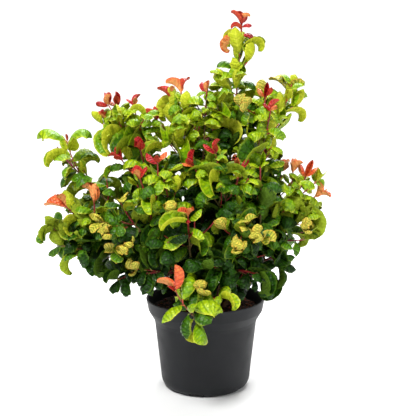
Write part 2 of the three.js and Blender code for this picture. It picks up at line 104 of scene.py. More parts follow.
# Potting mix, as in the frame
SOIL_TOP = 133
SOIL_FLAT_RADIUS = 44
SOIL_EDGE_DROP = 4
SOIL_GAP = 0.7
SOIL_FLOOR_GAP = 0.4
SOIL_FOOT_STEPS = 4
SOIL_BUMP = 9
SOIL_SLICE = 4.0
SOIL_FRACTAL = (1.0, 2.0, 4)
SOIL_CALM = 0.35
SOIL_ROUGHENING = 4
SOIL_SMOOTH = 80
CRUMB_FLATNESS = 0.8
CHIP_FLATNESS = 0.3
SMALLEST_LUMP = 0.4
LUMP_TILT = 0.6
LUMP_LEAST = (0.5, 0.3, 0.2)
LUMP_BREADTH = 0.8

# Stems: name, foot on the potting mix, tip, radius at the foot and at the tip
STEMS = [
    ("spire", (6, 2), (35, 8, 330), 4.2, 2.0),
    ("upper_right", (22, 10), (80, 14, 335), 4.0, 1.9),
    ("right", (33, -3), (95, -8, 235), 3.6, 1.8),
    ("lower_right", (28, -18), (85, -30, 205), 3.2, 1.6),
    ("upper_middle", (-5, -8), (-5, -4, 330), 4.0, 1.9),
    ("upper_left", (-16, 8), (-90, 16, 330), 4.2, 2.0),
    ("far_left", (-31, 6), (-130, -4, 270), 4.0, 1.9),
    ("left", (-33, -8), (-130, -28, 230), 3.8, 1.8),
    ("front_left", (-22, -20), (-72, -62, 250), 3.6, 1.8),
    ("front", (-8, -27), (-22, -66, 225), 3.4, 1.7),
    ("front_right", (12, -27), (48, -62, 240), 3.6, 1.8),
    ("back", (-6, 28), (-14, 78, 265), 3.8, 1.9),
    ("back_left", (-24, 24), (-84, 72, 255), 3.8, 1.9),
    ("back_right", (18, 28), (72, 66, 250), 3.8, 1.9),
]

# Masses of foliage: name, stem and how far up it the mass starts, tip of the leading shoot, number of
# shoots, how far their tips spread, angle of the first, length that bears leaves, how much the tips
# rise, length of the youngest leaf, seed, tint of the foliage and tint of the youngest leaves
MASS_COLUMNS = (
    "name", "stem", "along", "tip", "shoots", "spread", "turn", "leafy", "rise", "young", "seed", "tint",
    "tips",
)
MASSES = [
    ("spire", "spire", 1, (56, 8, 575), 1, 0, 0, 215, 2.2, 15, 2, "lime", "red"),
    ("upper_right", "upper_right", 1, (132, 16, 474), 2, 36, 180, 130, 1.4, 32, 2, "lime", "gold"),
    ("inner_right", "upper_right", 0.7, (92, -14, 464), 2, 34, 300, 110, 1.2, 17, 3, "lime", "red"),
    ("right", "right", 1, (157, -8, 340), 3, 34, 180, 110, 1, 24, 3, "lime", "orange"),
    ("right_low", "right", 0.7, (154, -16, 280), 3, 30, 0, 95, 0.5, 34, 2, "green", "lime"),
    ("lower_right", "lower_right", 1, (114, -42, 222), 3, 32, 0, 80, -0.2, 36, 2, "dark", "green"),
    ("right_front", "lower_right", 0.8, (82, -66, 362), 2, 30, 180, 110, 1.2, 22, 3, "green", "lime"),
    ("upper_middle", "upper_middle", 1, (2, 0, 472), 3, 30, 0, 130, 1.6, 15, 8, "lime", "red"),
    ("upper_left_inner", "upper_middle", 0.7, (-52, -8, 462), 2, 34, 180, 120, 1.3, 17, 2, "lime", "red"),
    ("upper_left", "upper_left", 1, (-140, 18, 451), 3, 26, 0, 115, 1.4, 15, 3, "lime", "red"),
    ("middle_left", "upper_left", 0.75, (-98, -44, 386), 2, 32, 180, 105, 1.2, 17, 6, "green", "red"),
    ("far_left", "far_left", 1, (-230, -8, 386), 3, 28, 0, 110, 1, 40, 7, "lime", "lime"),
    ("left_back", "far_left", 0.8, (-182, 58, 314), 2, 38, 180, 100, 0.8, 36, 13, "green", "lime"),
    ("left", "left", 1, (-214, -38, 298), 3, 36, 0, 100, 0.8, 24, 2, "lime", "orange"),
    ("low_left", "left", 0.75, (-206, -34, 256), 3, 30, 0, 85, 0.5, 36, 3, "green", "lime"),
    ("low_left_front", "left", 0.55, (-118, -60, 206), 2, 32, 0, 80, 0, 36, 2, "dark", "green"),
    ("front_left", "front_left", 1, (-152, -92, 282), 3, 34, 0, 90, 0.8, 24, 8, "green", "gold"),
    ("front_left_upper", "front_left", 0.85, (-70, -78, 370), 3, 32, 0, 110, 1.3, 17, 17, "lime", "red"),
    ("front_middle", "front", 1, (-25, -112, 294), 3, 36, 0, 95, 1, 20, 18, "lime", "red"),
    ("front_low_left", "front", 0.7, (-88, -92, 205), 3, 36, 0, 75, 0.1, 36, 19, "dark", "green"),
    ("front_hanging", "front", 0.55, (-5, -126, 128), 3, 34, 0, 90, -1.6, 30, 20, "lime", "lime"),
    ("front_tip", "front", 0.35, (-44, -130, 196), 1, 0, 0, 70, 0.9, 26, 33, "lime", "orange"),
    ("front_right", "front_right", 1, (58, -110, 282), 3, 28, 0, 90, 0.8, 22, 21, "green", "gold"),
    ("front_upper", "front_right", 0.85, (15, -72, 385), 3, 32, 0, 110, 1.4, 16, 22, "lime", "red"),
    ("front_low_right", "front_right", 0.6, (78, -96, 205), 2, 34, 0, 75, 0, 36, 23, "dark", "green"),
    ("front_low_middle", "front_right", 0.45, (8, -100, 222), 3, 38, 0, 75, 0.2, 36, 32, "dark", "green"),
    ("back", "back", 1, (-10, 130, 392), 3, 44, 0, 120, 1.2, 20, 24, "green", "red"),
    ("back_top", "back", 0.8, (20, 58, 435), 2, 36, 0, 120, 1.5, 18, 25, "lime", "red"),
    ("back_low", "back", 0.6, (-4, 160, 268), 3, 44, 0, 95, 0.6, 36, 26, "dark", "lime"),
    ("back_left", "back_left", 1, (-115, 104, 362), 3, 40, 0, 115, 1.1, 22, 27, "green", "orange"),
    ("back_left_low", "back_left", 0.7, (-122, 134, 244), 3, 44, 0, 95, 0.5, 36, 28, "dark", "green"),
    ("back_right", "back_right", 1, (90, 106, 362), 3, 38, 0, 115, 1.1, 20, 29, "green", "red"),
    ("back_right_low", "back_right", 0.7, (114, 108, 252), 3, 40, 0, 95, 0.5, 36, 30, "dark", "lime"),
]

# Stems and shoots: pairs are the least and the most of what chance gives
STEM_CLEARANCE = 0.3
STEM_LEAN = 0.25
STEM_RISE = 0.2
STEM_PULL = 0.85
STEM_STEPS = 24
FLARE = 0.45
FLARE_HEIGHT = 9.0
SHOOT_STEPS = 4
FINE_SHOOT_STEPS = 20
SHOOT_RADIUS = 1.7
SHOOT_TIP_RADIUS = 0.9
SIDE_SHOOT_THINNER = 0.2
SHOOT_PULL = 0.75
SHOOT_RISE = 0.45
LEADER_TURN = 0.9
SIDE_TURN = 0.8
SIDE_FORK = (0.12, 0.42)
SIDE_REACH = (0.85, 1.15)
SIDE_LAG = (0.35, 1.05)
SIDE_JITTER = (-0.3, 0.3)
SIDEWAYS_LIMIT = 0.85
SQUARE_LIMIT = 0.8

# Leaves, with pitch in degrees and curl, roll and jitter in radians
LEAF_LENGTH = 59.0
LEAF_SIZE = (0.88, 1.12)
LEAF_PITCH = (28, 60)
LEAF_CURL = (2.3, 3.7)
LEAF_ROLL = (-0.7, 0.7)
INCURVED_SHARE = 0.1
INCURVED = -0.35
LEAF_JITTER = (-0.25, 0.25)
LEAF_RISE = 0.12
FACE_ALONG = 0.9
FACE_RISE = 0.75
YOUNGEST = 14
YOUNG_RANGE = 36
YOUNG_LOSS = 0.4
YOUNG_STRETCH = 26
GROWING_STRETCH = 46
GROWING_POWER = 0.8
YOUNG_PITCH = 16
YOUNG_CURL = 0.55
FIRST_LEAF = 2
FLUSH_LEAVES = 2
FLUSH_STEP = 4
NECK_STEP = 13
BARE_STRETCH = 10
SIDE_LEAFY = 0.85
TIP_STEP = 9
LEAF_STEP = 25
STEP_STRETCH = 60

# Finer growth: lengths in millimetres along the limbs; a way is how far a twig heads along its limb, out
# from it and up; deep is how far below a shoot's tip its leaves count for their tint, which darkens the
# leaves inside the crown, partly as older leaves and partly as painted shade
IN_BETWEEN_SIZE = 0.86
FINE_PULL = 0.7
TWIG_STEPS = 4
TWIG_START_TURN = 0.4
TWIG_END_TURN = 0.5
TWIG_FIRST_LEAF = 2.0
TWIG_BARE_FOOT = 6
TWIG_FIRST = 40.0
LONE_TWIG_FIRST = 75.0
TWIG_SPACING = 38.0
TWIG_LAST = 14
TWIG_LENGTH = (26, 44)
TWIG_LONGEST = 0.8
TWIG_WAY = (0.75, 0.8, 0.25)
TWIG_YOUNG = 28
TWIG_LEAF_STEP = 11.0
TWIG_DEEP = 34
STEM_TWIG_FIRST = 20.0
STEM_TWIG_STEP = 24.0
STEM_TWIG_LOWEST = 170.0
STEM_TWIG_LENGTH = (40, 62)
STEM_TWIG_WAY = (0.5, 0.9, 0.1)
STEM_TWIG_YOUNG = 38
STEM_TWIG_LEAF_STEP = 12.0
STEM_TWIG_DEEP = 60
STEM_LEAF_FIRST = 6.0
STEM_LEAF_STEP = 11.0
STEM_LEAF_LOWEST = 185.0
STEM_LEAF_YOUNG = 40
STEM_LEAF_DEEP = 70

# Whole numbers from which the chance numbers of the finer growth count
TWIG_KEY = 50
DENSE_KEY = 70
STEM_TWIG_KEY = 5
STEM_SEED = 90
ROSETTE_SEED = 200
ROSETTE_TWIG_SEED = 220
SPRAY_SEED = 240
STRIKING_SEED = 300

# Finer shoots: how far each kind turns to its end at once, how steeply it ends and the steps of its line
SPRAY_BEND = (1, 0.5, 12)
ROSETTE_BEND = (1, 0.3, 6)
STRIKING_BEND = (0, 2, 16)

# Sprays: the mass whose leader bears the shoot, how far along, its end, the length that bears leaves,
# length of the youngest leaf and tint of the youngest leaves
SPRAYS = [
    ("upper_left_inner", 0.5, (-37, -12, 472), 60, 26, "red"),
    ("upper_left", 0.55, (-152, 10, 452), 50, 17, "red"),
    ("upper_left", 0.5, (-160, 4, 421), 38, 30, "lime"),
    ("upper_left", 0.45, (-92, -20, 436), 50, 24, "lime"),
    ("spire", 0.5, (30, 0, 494), 40, 34, "lime"),
    ("spire", 0.3, (16, -8, 452), 45, 34, "lime"),
    ("upper_right", 0.7, (134, 6, 480), 40, 34, "lime"),
    ("right", 0.5, (136, -12, 348), 50, 24, "orange"),
    ("right", 0.6, (172, -12, 332), 45, 32, "lime"),
    ("low_left", 0.6, (-232, -48, 264), 60, 34, "lime"),
    ("low_left", 0.4, (-220, -46, 238), 50, 30, "green"),
    ("low_left_front", 0.6, (-132, -78, 192), 40, 34, "green"),
    ("lower_right", 0.6, (112, -52, 206), 40, 34, "green"),
    ("front_hanging", 0.4, (22, -112, 174), 20, 38, "lime"),
]

# Crinkled golden tips: the mass whose leader bears the twig, how far along, its end and its leaves
ROSETTES = [
    ("front_left_upper", 0.35, (-51, -104, 300), 8),
    ("front_left", 0.6, (-142, -108, 268), 8),
    ("front_left", 0.6, (-116, -112, 250), 6),
    ("front_right", 0.5, (72, -122, 266), 9),
    ("front_right", 0.6, (48, -124, 254), 7),
    ("front_low_left", 0.6, (-104, -102, 216), 7),
    ("right_low", 0.8, (150, -42, 268), 6),
    ("inner_right", 0.8, (56, -44, 450), 8),
    ("front_hanging", 0.3, (-8, -118, 186), 7),
]
ROSETTE_LEAF = (20, 26)
ROSETTE_FIRST = 1
ROSETTE_STEP = 0.8
ROSETTE_PITCH = (12, 90)
ROSETTE_CURL = (1.3, 1.8)
ROSETTE_YOUNG = 24
ROSETTE_LEAF_STEP = 9
ROSETTE_DEEP = 30
ROSETTE_BARE_LEAVES = 2

# The red and orange leaves at the tips: their size, lean and curl as shares of the rule's
TUFT_SIZE = 1.1
TUFT_PITCH = 0.55
TUFT_CURL = 0.7

# Masses whose leader bears more leaves: the mass, and where below its tip the first and last stand
DENSE = [
    ("spire", 100, 236),
]
DENSE_STEP = 11.0
DENSE_SIZE = 0.85
DENSE_SHIFT = 0.25

# Stretches below the tips of some masses' shoots without leaves by the rule
BARE = [
    ("spire", 12, 30),
    ("far_left", -1, 26),
    ("front_hanging", -1, 60),
    ("front_tip", -1, 60),
    ("front_middle", -1, 64),
]

# Shoots that bear striking leaves only: the mass whose leader bears them, how far along, and the end
STRIKING_SHOOTS = {
    "over_rim": ("front_hanging", 0.82, (-42, -134, 189)),
    "far_left_end": ("far_left", 0.6, (-213, -14, 394)),
}

# Striking leaves of each shoot: length below the tip, angle around, length, pitch, curl and tint
STRIKING_LEAVES = {
    "spire": [
        (0, 80, 19, 6, 1.2, "red"),
        (1, 290, 20, 18, 1.8, "orange"),
        (3, 190, 17, 20, 1.8, "red"),
        (8, 215, 22, 40, 2.4, "red"),
        (12, 120, 20, 42, 2.6, "red"),
        (20, 285, 30, 52, 3.2, "red"),
        (37, 95, 38, 58, 4.0, "orange"),
        (44, 275, 44, 48, 1.2, "green"),
        (70, 100, 46, 56, 2.6, "green"),
        (84, 110, 50, 60, 2.4, "lime"),
        (92, 265, 42, 62, 2.6, "green"),
    ],
    "over_rim": [
        (0, 165, 20, 26, 0.9, "red"),
        (1, 75, 32, 34, 1.0, "orange"),
        (2, 330, 40, 14, 0.2, "orange"),
        (22, 305, 60, 34, 2.4, "lime"),
        (26, 130, 52, 50, 1.6, "lime"),
        (34, 205, 38, 48, 1.6, "lime"),
        (38, 262, 72, 66, 2.7, "lime"),
        (46, 238, 48, 66, 2.2, "green"),
        (40, 330, 40, 40, 1.6, "green"),
        (42, 135, 50, 72, 2.4, "green"),
        (52, 118, 40, 98, 2.4, "lime"),
        (56, 205, 54, 90, 1.1, "lime"),
    ],
    "front_hanging": [
        (42, 60, 46, 60, 2.0, "green"),
        (56, 20, 46, 60, 1.8, "lime"),
    ],
    "far_left_end": [
        (0, 180, 13, 8, 0.5, "red"),
        (2, 100, 68, 28, 3.0, "lime"),
        (5, 270, 64, 26, 3.2, "lime"),
        (25, 150, 42, 46, 1.6, "lime"),
        (17, 240, 48, 40, 1.4, "lime"),
        (30, 105, 48, 52, 2.0, "lime"),
        (36, 285, 48, 58, 2.4, "green"),
        (50, 95, 48, 66, 2.2, "green"),
        (56, 200, 44, 62, 2.0, "green"),
    ],
    "front_middle": [
        (0, 110, 20, 32, 1.2, "orange"),
        (2, 255, 22, 20, 0.9, "orange"),
        (6, 180, 15, 40, 2.0, "red"),
        (10, 262, 32, 26, 0.8, "lime"),
        (14, 120, 48, 56, 2.2, "lime"),
        (26, 240, 44, 54, 1.6, "lime"),
        (38, 118, 52, 64, 1.8, "lime"),
        (44, 270, 52, 66, 2.4, "lime"),
        (56, 225, 46, 62, 1.6, "green"),
        (62, 130, 46, 66, 2.0, "green"),
    ],
}

# Masses that bear only their first shoot, and masses without finer twigs
FIRST_ONLY = ("front_hanging", "far_left")
TWIGLESS = ("front_hanging", "front_tip")

# How much lighter than by their height the leaves of these masses are
LIGHTER = {"front_hanging": 1.0, "front_tip": 1.0, "front_upper": -0.45}

# Low parts of the crown that stay open: the least and the most corner of a box around each
OPENINGS = [
    ((-74, -110, 130), (-44, -40, 196)),
    ((24, -90, 130), (66, -30, 172)),
    ((62, -120, 130), (140, 40, 188)),
]

# Tints: how far below a tip the young ones reach, golden ones on a leading shoot and on the others, and
# how many of the other shoots have red or orange tips
TINTS = ("red", "orange", "gold", "lime", "green", "dark")
YOUNG_TINTS = ("red", "orange", "gold")
GOLD_REACH = (18, 5)
TUFT_REACH = 15
TUFT_SHARE = 0.3
ORANGE_SHARE = 0.25

# Shade turns leaves darker with age, which is their own colour, and, as painted shade under the crown, the
# further they stand under a height, in millimetres
MASS_SHADE = {"lime": 0, "green": 0.8, "dark": 1.6}
AGE_FROM = 14
AGE_DEPTH = 60
SHADE_FROM = 312
SHADE_DEPTH = 150
SHADE_LUCK = 0.7
LIME_UNTIL = 0.75
GREEN_UNTIL = 1.75

# A leaf's mesh: rows from base to tip, and columns from margin to margin as parts of half the width;
# the underside has one row for each vein and the inner columns only
LEAF_ROWS = 18
ROWS_PER_VEIN = 3
VEINS = LEAF_ROWS // ROWS_PER_VEIN
LEAF_COLUMNS = (-1.0, -0.5, 0.0, 0.5, 1.0)
UNDER_COLUMNS = (1, 2, 3)
SUBSTEPS = 3
LEAF_SMOOTH = 75
PIECE_LEAVES = 900

# A leaf's shape: its outline rises and falls by two powers, and pairs are the least and the most of what
# chance makes of the settings
OUTLINE_BASE = 0.6
OUTLINE_TIP = 0.52
OUTLINE_PEAK = 0.4616
WEAK_FACE = 0.15
HOOK = (0.25, 0.75)
HOOK_POWER = 2.6
BOTH_WAYS = (-0.5, 0.5)
SWERVE_POWER = 1.4
WIDTHS = (0.92, 1.08)
ARCHES = (0.6, 1.4)
FOLDS = (0.5, 1.5)
WAVES = (0.4, 1.4)
INCURVED_ARCH = 1.4
GOLD_FOLD = 0.4
YOUNG_CUPPED = 2
CRUMPLE = {"red": 0.5, "orange": 0.6, "gold": 2.0, "lime": 1.0, "green": 1.15, "dark": 1.15}
WAVE_CRUMPLE = 0.8
RIPPLES = 2.2
RIPPLE_SHIFT = 1.1
MIDRIB_RELIEF = -0.9
MARGIN_RELIEF = 0.45
THINNEST = 0.25

# Each tint as it looks on a screen: the upper side in light and in shade, its grooves in painted shade, the
# underside and the margin; then how rough the gloss is and how strong
LEAF_COLORS = {
    "red": ((196, 40, 36), (160, 22, 32), (110, 10, 22), (204, 74, 54), (214, 84, 50), 0.34, 0.3),
    "orange": ((234, 138, 60), (220, 92, 52), (164, 52, 30), (232, 158, 92), (226, 104, 56), 0.36, 0.3),
    "gold": ((222, 206, 78), (178, 178, 44), (88, 112, 16), (204, 190, 80), (228, 168, 70), 0.42, 0.25),
    "lime": ((166, 190, 12), (112, 154, 8), (68, 112, 4), (176, 188, 30), (212, 212, 64), 0.36, 0.28),
    "green": ((84, 132, 10), (48, 92, 6), (22, 50, 2), (134, 152, 30), (150, 170, 44), 0.36, 0.2),
    "dark": ((38, 78, 8), (18, 46, 4), (6, 20, 1), (74, 102, 24), (84, 116, 30), 0.38, 0.13),
}
SLOT_TINTS = ("lime", "green", "dark")

# A leaf's finish: waves over a metre of its clouds, cells and grain, the detail of the grain, where its
# marks start and end, and how strongly they show; the darkened vein grooves, midrib and cell hollows are
# painted shade
LEAF_CLOUDS = 26.0
LEAF_CELLS = 210.0
LEAF_GRAIN = 320.0
GRAIN_DETAIL = 2.0
CLOUD_EDGES = (0.4, 0.62)
GROOVE = (-0.3, -1.0)
HOLLOW = (0.3, 0.65)
MIDRIB = (0.12, 0.03)
MARGIN = (0.78, 0.98)
# Vein grooves, the upper midrib and the hollows are darkened as painted shade; the underside's veins and
# midrib are pale, and its hollows take painted shade
GROOVE_SHADE_SHARE = 0.55
GOLD_GROOVE_SHADE_SHARE = 0.8
UNDER_VEIN_SHARE = 0.3
MIDRIB_SHARE = 0.35
HOLLOW_SHARE = 0.4
UNDER_HOLLOW_SHARE = 0.25
MARGIN_SHARE = 0.6
GRAIN_SHARE = 0.4
UPPER_RELIEF = 0.7
UNDER_RELIEF = 0.6
LEAF_RELIEF_DEPTH = 0.001
UNDER_ROUGHNESS = 0.6
UNDER_PATCHES = 0.72

# The pot's finish: waves over a metre of its worn patches, gloss and grain, the detail of the first two,
# where they start and end, and how strongly they show
POT_SHINE = 0.15
POT_PATCHES = 14.0
PATCH_DETAIL = 5.0
PATCH_EDGES = (0.35, 0.7)
POT_WORN = 1.35
POT_GLOSS = 30.0
GLOSS_DETAIL = 4.0
GLOSS_EDGES = (0.3, 0.7)
POT_ROUGHNESS = (0.42, 0.58)
POT_GRAIN = 900.0
POT_GRAIN_STRENGTH = 0.25
POT_GRAIN_DEPTH = 0.0002

# Simple finishes: roughness, gloss, clouds and grain over a metre and the depth of the relief in metres
FINISHES = {
    "potting_mix": (0.9, 0.2, 90.0, 700.0, 0.001),
    "bark_chips": (0.8, 0.3, 160.0, 600.0, 0.0008),
    "bark": (0.8, 0.25, 140.0, 900.0, 0.0006),
    "shoot_young": (0.4, 0.5, 60.0, 500.0, 0.0003),
    "shoot_old": (0.6, 0.5, 60.0, 600.0, 0.0005),
    "stalk_young": (0.45, 0.5, 40.0, 500.0, 0.0003),
    "stalk_old": (0.5, 0.5, 40.0, 500.0, 0.0003),
}
SIMPLE_EDGES = (0.38, 0.62)
OLD_SHOOT_PATCHES = (104, 62, 38)
STALK_COLORS = {
    "stalk_young": ((178, 62, 46), (170, 120, 50)),
    "stalk_old": ((120, 130, 44), (120, 72, 42)),
}

# Bark: waves around the stem, length and depth of its cracks and of its grain, and old leaf scars
BARK_RELIEFS = ((2.2, 9, 1.4), (5, 3, 0.7))
STEM_APART = 7
SCAR_SPACING = 14.0
SCAR_LENGTH = 2.2
SCAR_RING = 0.4
SCAR_SWELL = 0.12

# Shoots and stalks: how far twigs taper, the least of a shoot that is old, and the stalks' thickness on
# the smallest leaf, along their length and how far they run on under the blade
TWIG_TAPER = 0.35
OLD_SHARE = 0.3
THIN_STALK = 0.45
STALK_TAPER = (1.0, 0.8, 0.5)
STALK_OVERLAP = 0.04

# The stage, in metres and watts
SENSOR = 36.0
FLOOR_HALF = 6.0
FLOOR_COLOR = (0.78, 0.78, 0.78)
SWEEP_START = 2.5
SWEEP_RADIUS = 1.5
SWEEP_STEPS = 16
BACKDROP_HEIGHT = 5.0
LAMP_AIM = (0, 0, 0.3)
LAMPS = [
    ("key", (-0.7, -1.3, 2.1), 0.8, 70),
    ("fill", (1.5, -1.2, 1.0), 1.2, 14),
    ("rim", (0.5, 1.2, 1.9), 1.2, 44),
    ("backdrop", (0.0, 1.2, 2.6), 2.0, 60),
]
BACKDROP_GLOW_FROM = 0.25
FLOOR_ROUGHNESS = 0.9
FLOOR_SHINE = 0.1
FLOOR_CLOUDS = 3.0
FLOOR_CLOUD_EDGES = (0.3, 0.7)
FLOOR_CLOUD_LIGHT = 1.01


def chance(*keys):
    """A chance number from 0 up to 1 that depends on whole numbers only; the last tells draws apart."""
    mixed = MIX_START
    for key in keys:
        mixed = ((mixed ^ (key & WORD)) * MIX_FACTOR) & WORD
    mixed ^= mixed >> 16
    for factor, shift in MIX_ROUNDS:
        mixed = (mixed * factor) & WORD
        mixed ^= mixed >> shift
    return mixed / (WORD + 1)


def between(limits, *keys):
    """A chance number between a least and a most."""
    return limits[0] + (limits[1] - limits[0]) * chance(*keys)


def unit(vector):
    """The vector made one long, or each row of an array of them."""
    vector = np.asarray(vector, float)
    return vector / np.linalg.norm(vector, axis=-1, keepdims=True)


class Line:
    """Points along a limb, with the length walked up to each."""

    def __init__(self, points):
        self.points = points
        steps = np.linalg.norm(np.diff(points, axis=0), axis=1)
        self.walked = np.concatenate([[0.0], np.cumsum(steps)])
        self.length = float(self.walked[-1])

    def at(self, length):
        """The place and direction at a length along the line."""
        length = min(max(length, 0.0), self.length)
        i = min(int(np.searchsorted(self.walked, length, side="right")) - 1, len(self.points) - 2)
        share = (length - self.walked[i]) / (self.walked[i + 1] - self.walked[i])
        place = self.points[i] * (1 - share) + self.points[i + 1] * share
        return place, unit(self.points[i + 1] - self.points[i])


def bend(start, start_aim, end, end_aim, pull, steps):
    """Points along a smooth bend from one point and direction to another."""
    reach = np.linalg.norm(end - start) * pull
    t = np.linspace(0, 1, steps + 1)[:, None]
    points = (2 * t**3 - 3 * t**2 + 1) * start + (t**3 - 2 * t**2 + t) * start_aim * reach
    return points + (3 * t**2 - 2 * t**3) * end + (t**3 - t**2) * end_aim * reach


def stem_line(foot, tip):
    """The line of a stem, from its foot on the potting mix, leaning out as it rises."""
    foot = np.array([foot[0], foot[1], SOIL_TOP + STEM_CLEARANCE])
    tip = np.array(tip, float)
    lean = unit([tip[0] - foot[0], tip[1] - foot[1], 0])
    start_aim = unit(UP + STEM_LEAN * lean)
    end_aim = unit(unit(tip - foot) + STEM_RISE * UP)
    return Line(bend(foot, start_aim, tip, end_aim, STEM_PULL, STEM_STEPS))


def shoot_line(mass, k, steps):
    """The line of one shoot of a mass: number 0 leads, and the rest fork from it."""
    seed, spread = mass["seed"], mass["spread"]
    tip = np.array(mass["tip"], float)
    root, aim = mass["stem_line"].at(mass["stem_line"].length * mass["along"])
    if mass["along"] < 1:
        aim = unit(aim + LEADER_TURN * unit(tip - root))
    start, start_aim, end = root, aim, tip
    if k > 0:
        out = unit(tip - root)
        depth = np.array([1.0, 0, 0]) if abs(out[1]) > SIDEWAYS_LIMIT else np.array([0, 1.0, 0])
        depth = unit(depth - out * depth.dot(out))
        side = np.cross(depth, out)
        first = math.radians(mass["turn"]) + 2 * math.pi * (k - 1) / (mass["shoots"] - 1)
        angle = first + between(SIDE_JITTER, seed, k, 7)
        reach = spread * between(SIDE_REACH, seed, k, 1)
        lag = spread * between(SIDE_LAG, seed, k, 2)
        end = tip + side * reach * math.cos(angle) + depth * reach * math.sin(angle) - out * lag
        leader = mass["leader"]
        start, fork_aim = leader.at(leader.length * between(SIDE_FORK, seed, k, 3))
        start_aim = unit(fork_aim + SIDE_TURN * unit(end - start))
    end_aim = unit(unit(end - start) + SHOOT_RISE * mass["rise"] * UP)
    return Line(bend(start, start_aim, end, end_aim, SHOOT_PULL, steps))


def square(aim):
    """Two directions square to each row of aims."""
    other = np.where(np.abs(aim[:, :1]) < SQUARE_LIMIT, [[1.0, 0, 0]], [[0, 1.0, 0]])
    first = unit(np.cross(aim, other))
    return first, np.cross(aim, first)


def leaf_row(line, below, mass, keys, number, young):
    """One leaf at a length below its shoot's tip, as the numbers that shape it."""
    place, aim = line.at(line.length - below)
    grown = min(1.0, (below / GROWING_STRETCH) ** GROWING_POWER)
    loss = YOUNG_LOSS * (young - YOUNGEST) / YOUNG_RANGE
    youth = max(0.0, 1 - below / YOUNG_STRETCH) * (1 - loss)
    turned_in = INCURVED if chance(*keys, int(number), 11) < INCURVED_SHARE else 1
    return {
        "place": place,
        "aim": aim,
        "round": 2 * math.pi * chance(*keys, 4) + GOLDEN_ANGLE * number
        + between(LEAF_JITTER, *keys, int(number), 6),
        "length": (young + (LEAF_LENGTH - young) * grown) * between(LEAF_SIZE, *keys, int(number), 5),
        "pitch": between(LEAF_PITCH, *keys, int(number), 8) - YOUNG_PITCH * youth,
        "curl": between(LEAF_CURL, *keys, int(number), 9) * (1 - YOUNG_CURL * youth) * turned_in,
        "roll": between(LEAF_ROLL, *keys, int(number), 10),
        "below": below,
        "mass": mass,
        "key": keys + (int(number * 2),),
    }


def leaves_on(line, mass, k):
    """The leaves of one shoot by the rule, from its tip down, and one more between each two."""
    rows = []
    leafy = min(mass["leafy"] * (1 if k == 0 else SIDE_LEAFY), line.length - BARE_STRETCH)
    keys = (mass["seed"], k)
    below = FIRST_LEAF
    number = 0
    while below < line.length - BARE_STRETCH:
        step = TIP_STEP + (LEAF_STEP - TIP_STEP) * min(1.0, below / STEP_STRETCH)
        if number < FLUSH_LEAVES:
            step = NECK_STEP if number == FLUSH_LEAVES - 1 else FLUSH_STEP
        rows.append(leaf_row(line, below, mass, keys, number, mass["young"]))
        if number == 0 or (number >= FLUSH_LEAVES and below + step / 2 < leafy):
            between_row = leaf_row(line, below + step / 2, mass, keys, number + 0.5, mass["young"])
            between_row["round"] += math.pi
            between_row["length"] *= IN_BETWEEN_SIZE
            rows.append(between_row)
        below += step
        number += 1
    return rows


def twig_from(line, below, keys, number, way, length):
    """A short twig that leaves a limb at a length below its tip, and turns along with it."""
    place, aim = line.at(line.length - below)
    first, second = square(aim[None])
    angle = 2 * math.pi * chance(*keys, 1) + GOLDEN_ANGLE * number
    outward = first[0] * math.cos(angle) + second[0] * math.sin(angle)
    heading = unit(aim * way[0] + outward * way[1] + UP * way[2])
    start_aim = unit(outward + aim * TWIG_START_TURN)
    end_aim = unit(heading + aim * TWIG_END_TURN)
    return Line(bend(place, start_aim, place + heading * length, end_aim, FINE_PULL, TWIG_STEPS))


def fine_shoot(bearer, along, end, turn, rise, steps):
    """A finer shoot that leaves a limb at a share of its length and runs to its own end."""
    place, aim = bearer.at(bearer.length * along)
    end = np.array(end, float)
    ahead = unit(end - place)
    return Line(bend(place, unit(aim + turn * ahead), end, unit(ahead + rise * UP), FINE_PULL, steps))


def leaves_on_twig(twig, mass, keys, young, step, deep):
    """The leaves of a finer twig, with deep added to how far below a tip they count."""
    rows = []
    for number, below in enumerate(np.arange(TWIG_FIRST_LEAF, twig.length - TWIG_BARE_FOOT, step)):
        row = leaf_row(twig, below, mass, keys, number, young)
        row["below"] += deep
        rows.append(row)
    return rows


def shoot_growth(mass, k, line, fine, plant):
    """The leaves of one shoot and its finer twigs with theirs."""
    plant["shoots"].append((fine, k))
    plant["leaves"] += leaves_on(line, mass, k)
    if mass["name"] in TWIGLESS:
        return
    way = (*TWIG_WAY[:2], TWIG_WAY[2] * mass["rise"])
    first = TWIG_FIRST if mass["shoots"] > 1 else LONE_TWIG_FIRST
    for number, below in enumerate(np.arange(first, line.length - TWIG_LAST, TWIG_SPACING)):
        keys = (mass["seed"], k, TWIG_KEY + number)
        length = min(between(TWIG_LENGTH, *keys, 2), below * TWIG_LONGEST)
        twig = twig_from(line, below, keys, number, way, length)
        plant["twigs"].append(twig)
        plant["leaves"] += leaves_on_twig(twig, mass, keys, TWIG_YOUNG, TWIG_LEAF_STEP, TWIG_DEEP)


def down_to(line, below, step, lowest):
    """Lengths below the tip of a line, step by step while it stands over the lowest height."""
    while line.at(line.length - below)[0][2] > lowest:
        yield below
        below += step


def stem_growth(index, name, line, plant):
    """Finer twigs and single leaves straight on the upper part of a stem, in its shade."""
    seed = STEM_SEED + index
    mass = {"name": name, "tint": "dark", "tips": "dark", "seed": seed}
    for number, below in enumerate(down_to(line, STEM_TWIG_FIRST, STEM_TWIG_STEP, STEM_TWIG_LOWEST)):
        keys = (seed, STEM_TWIG_KEY, number)
        twig = twig_from(line, below, keys, number, STEM_TWIG_WAY, between(STEM_TWIG_LENGTH, *keys, 2))
        plant["twigs"].append(twig)
        plant["leaves"] += leaves_on_twig(twig, mass, keys, STEM_TWIG_YOUNG, STEM_TWIG_LEAF_STEP,
                                          STEM_TWIG_DEEP)
    for number, below in enumerate(down_to(line, STEM_LEAF_FIRST, STEM_LEAF_STEP, STEM_LEAF_LOWEST)):
        row = leaf_row(line, below, mass, (seed, 0), number, STEM_LEAF_YOUNG)
        row["below"] += STEM_LEAF_DEEP
        plant["leaves"].append(row)


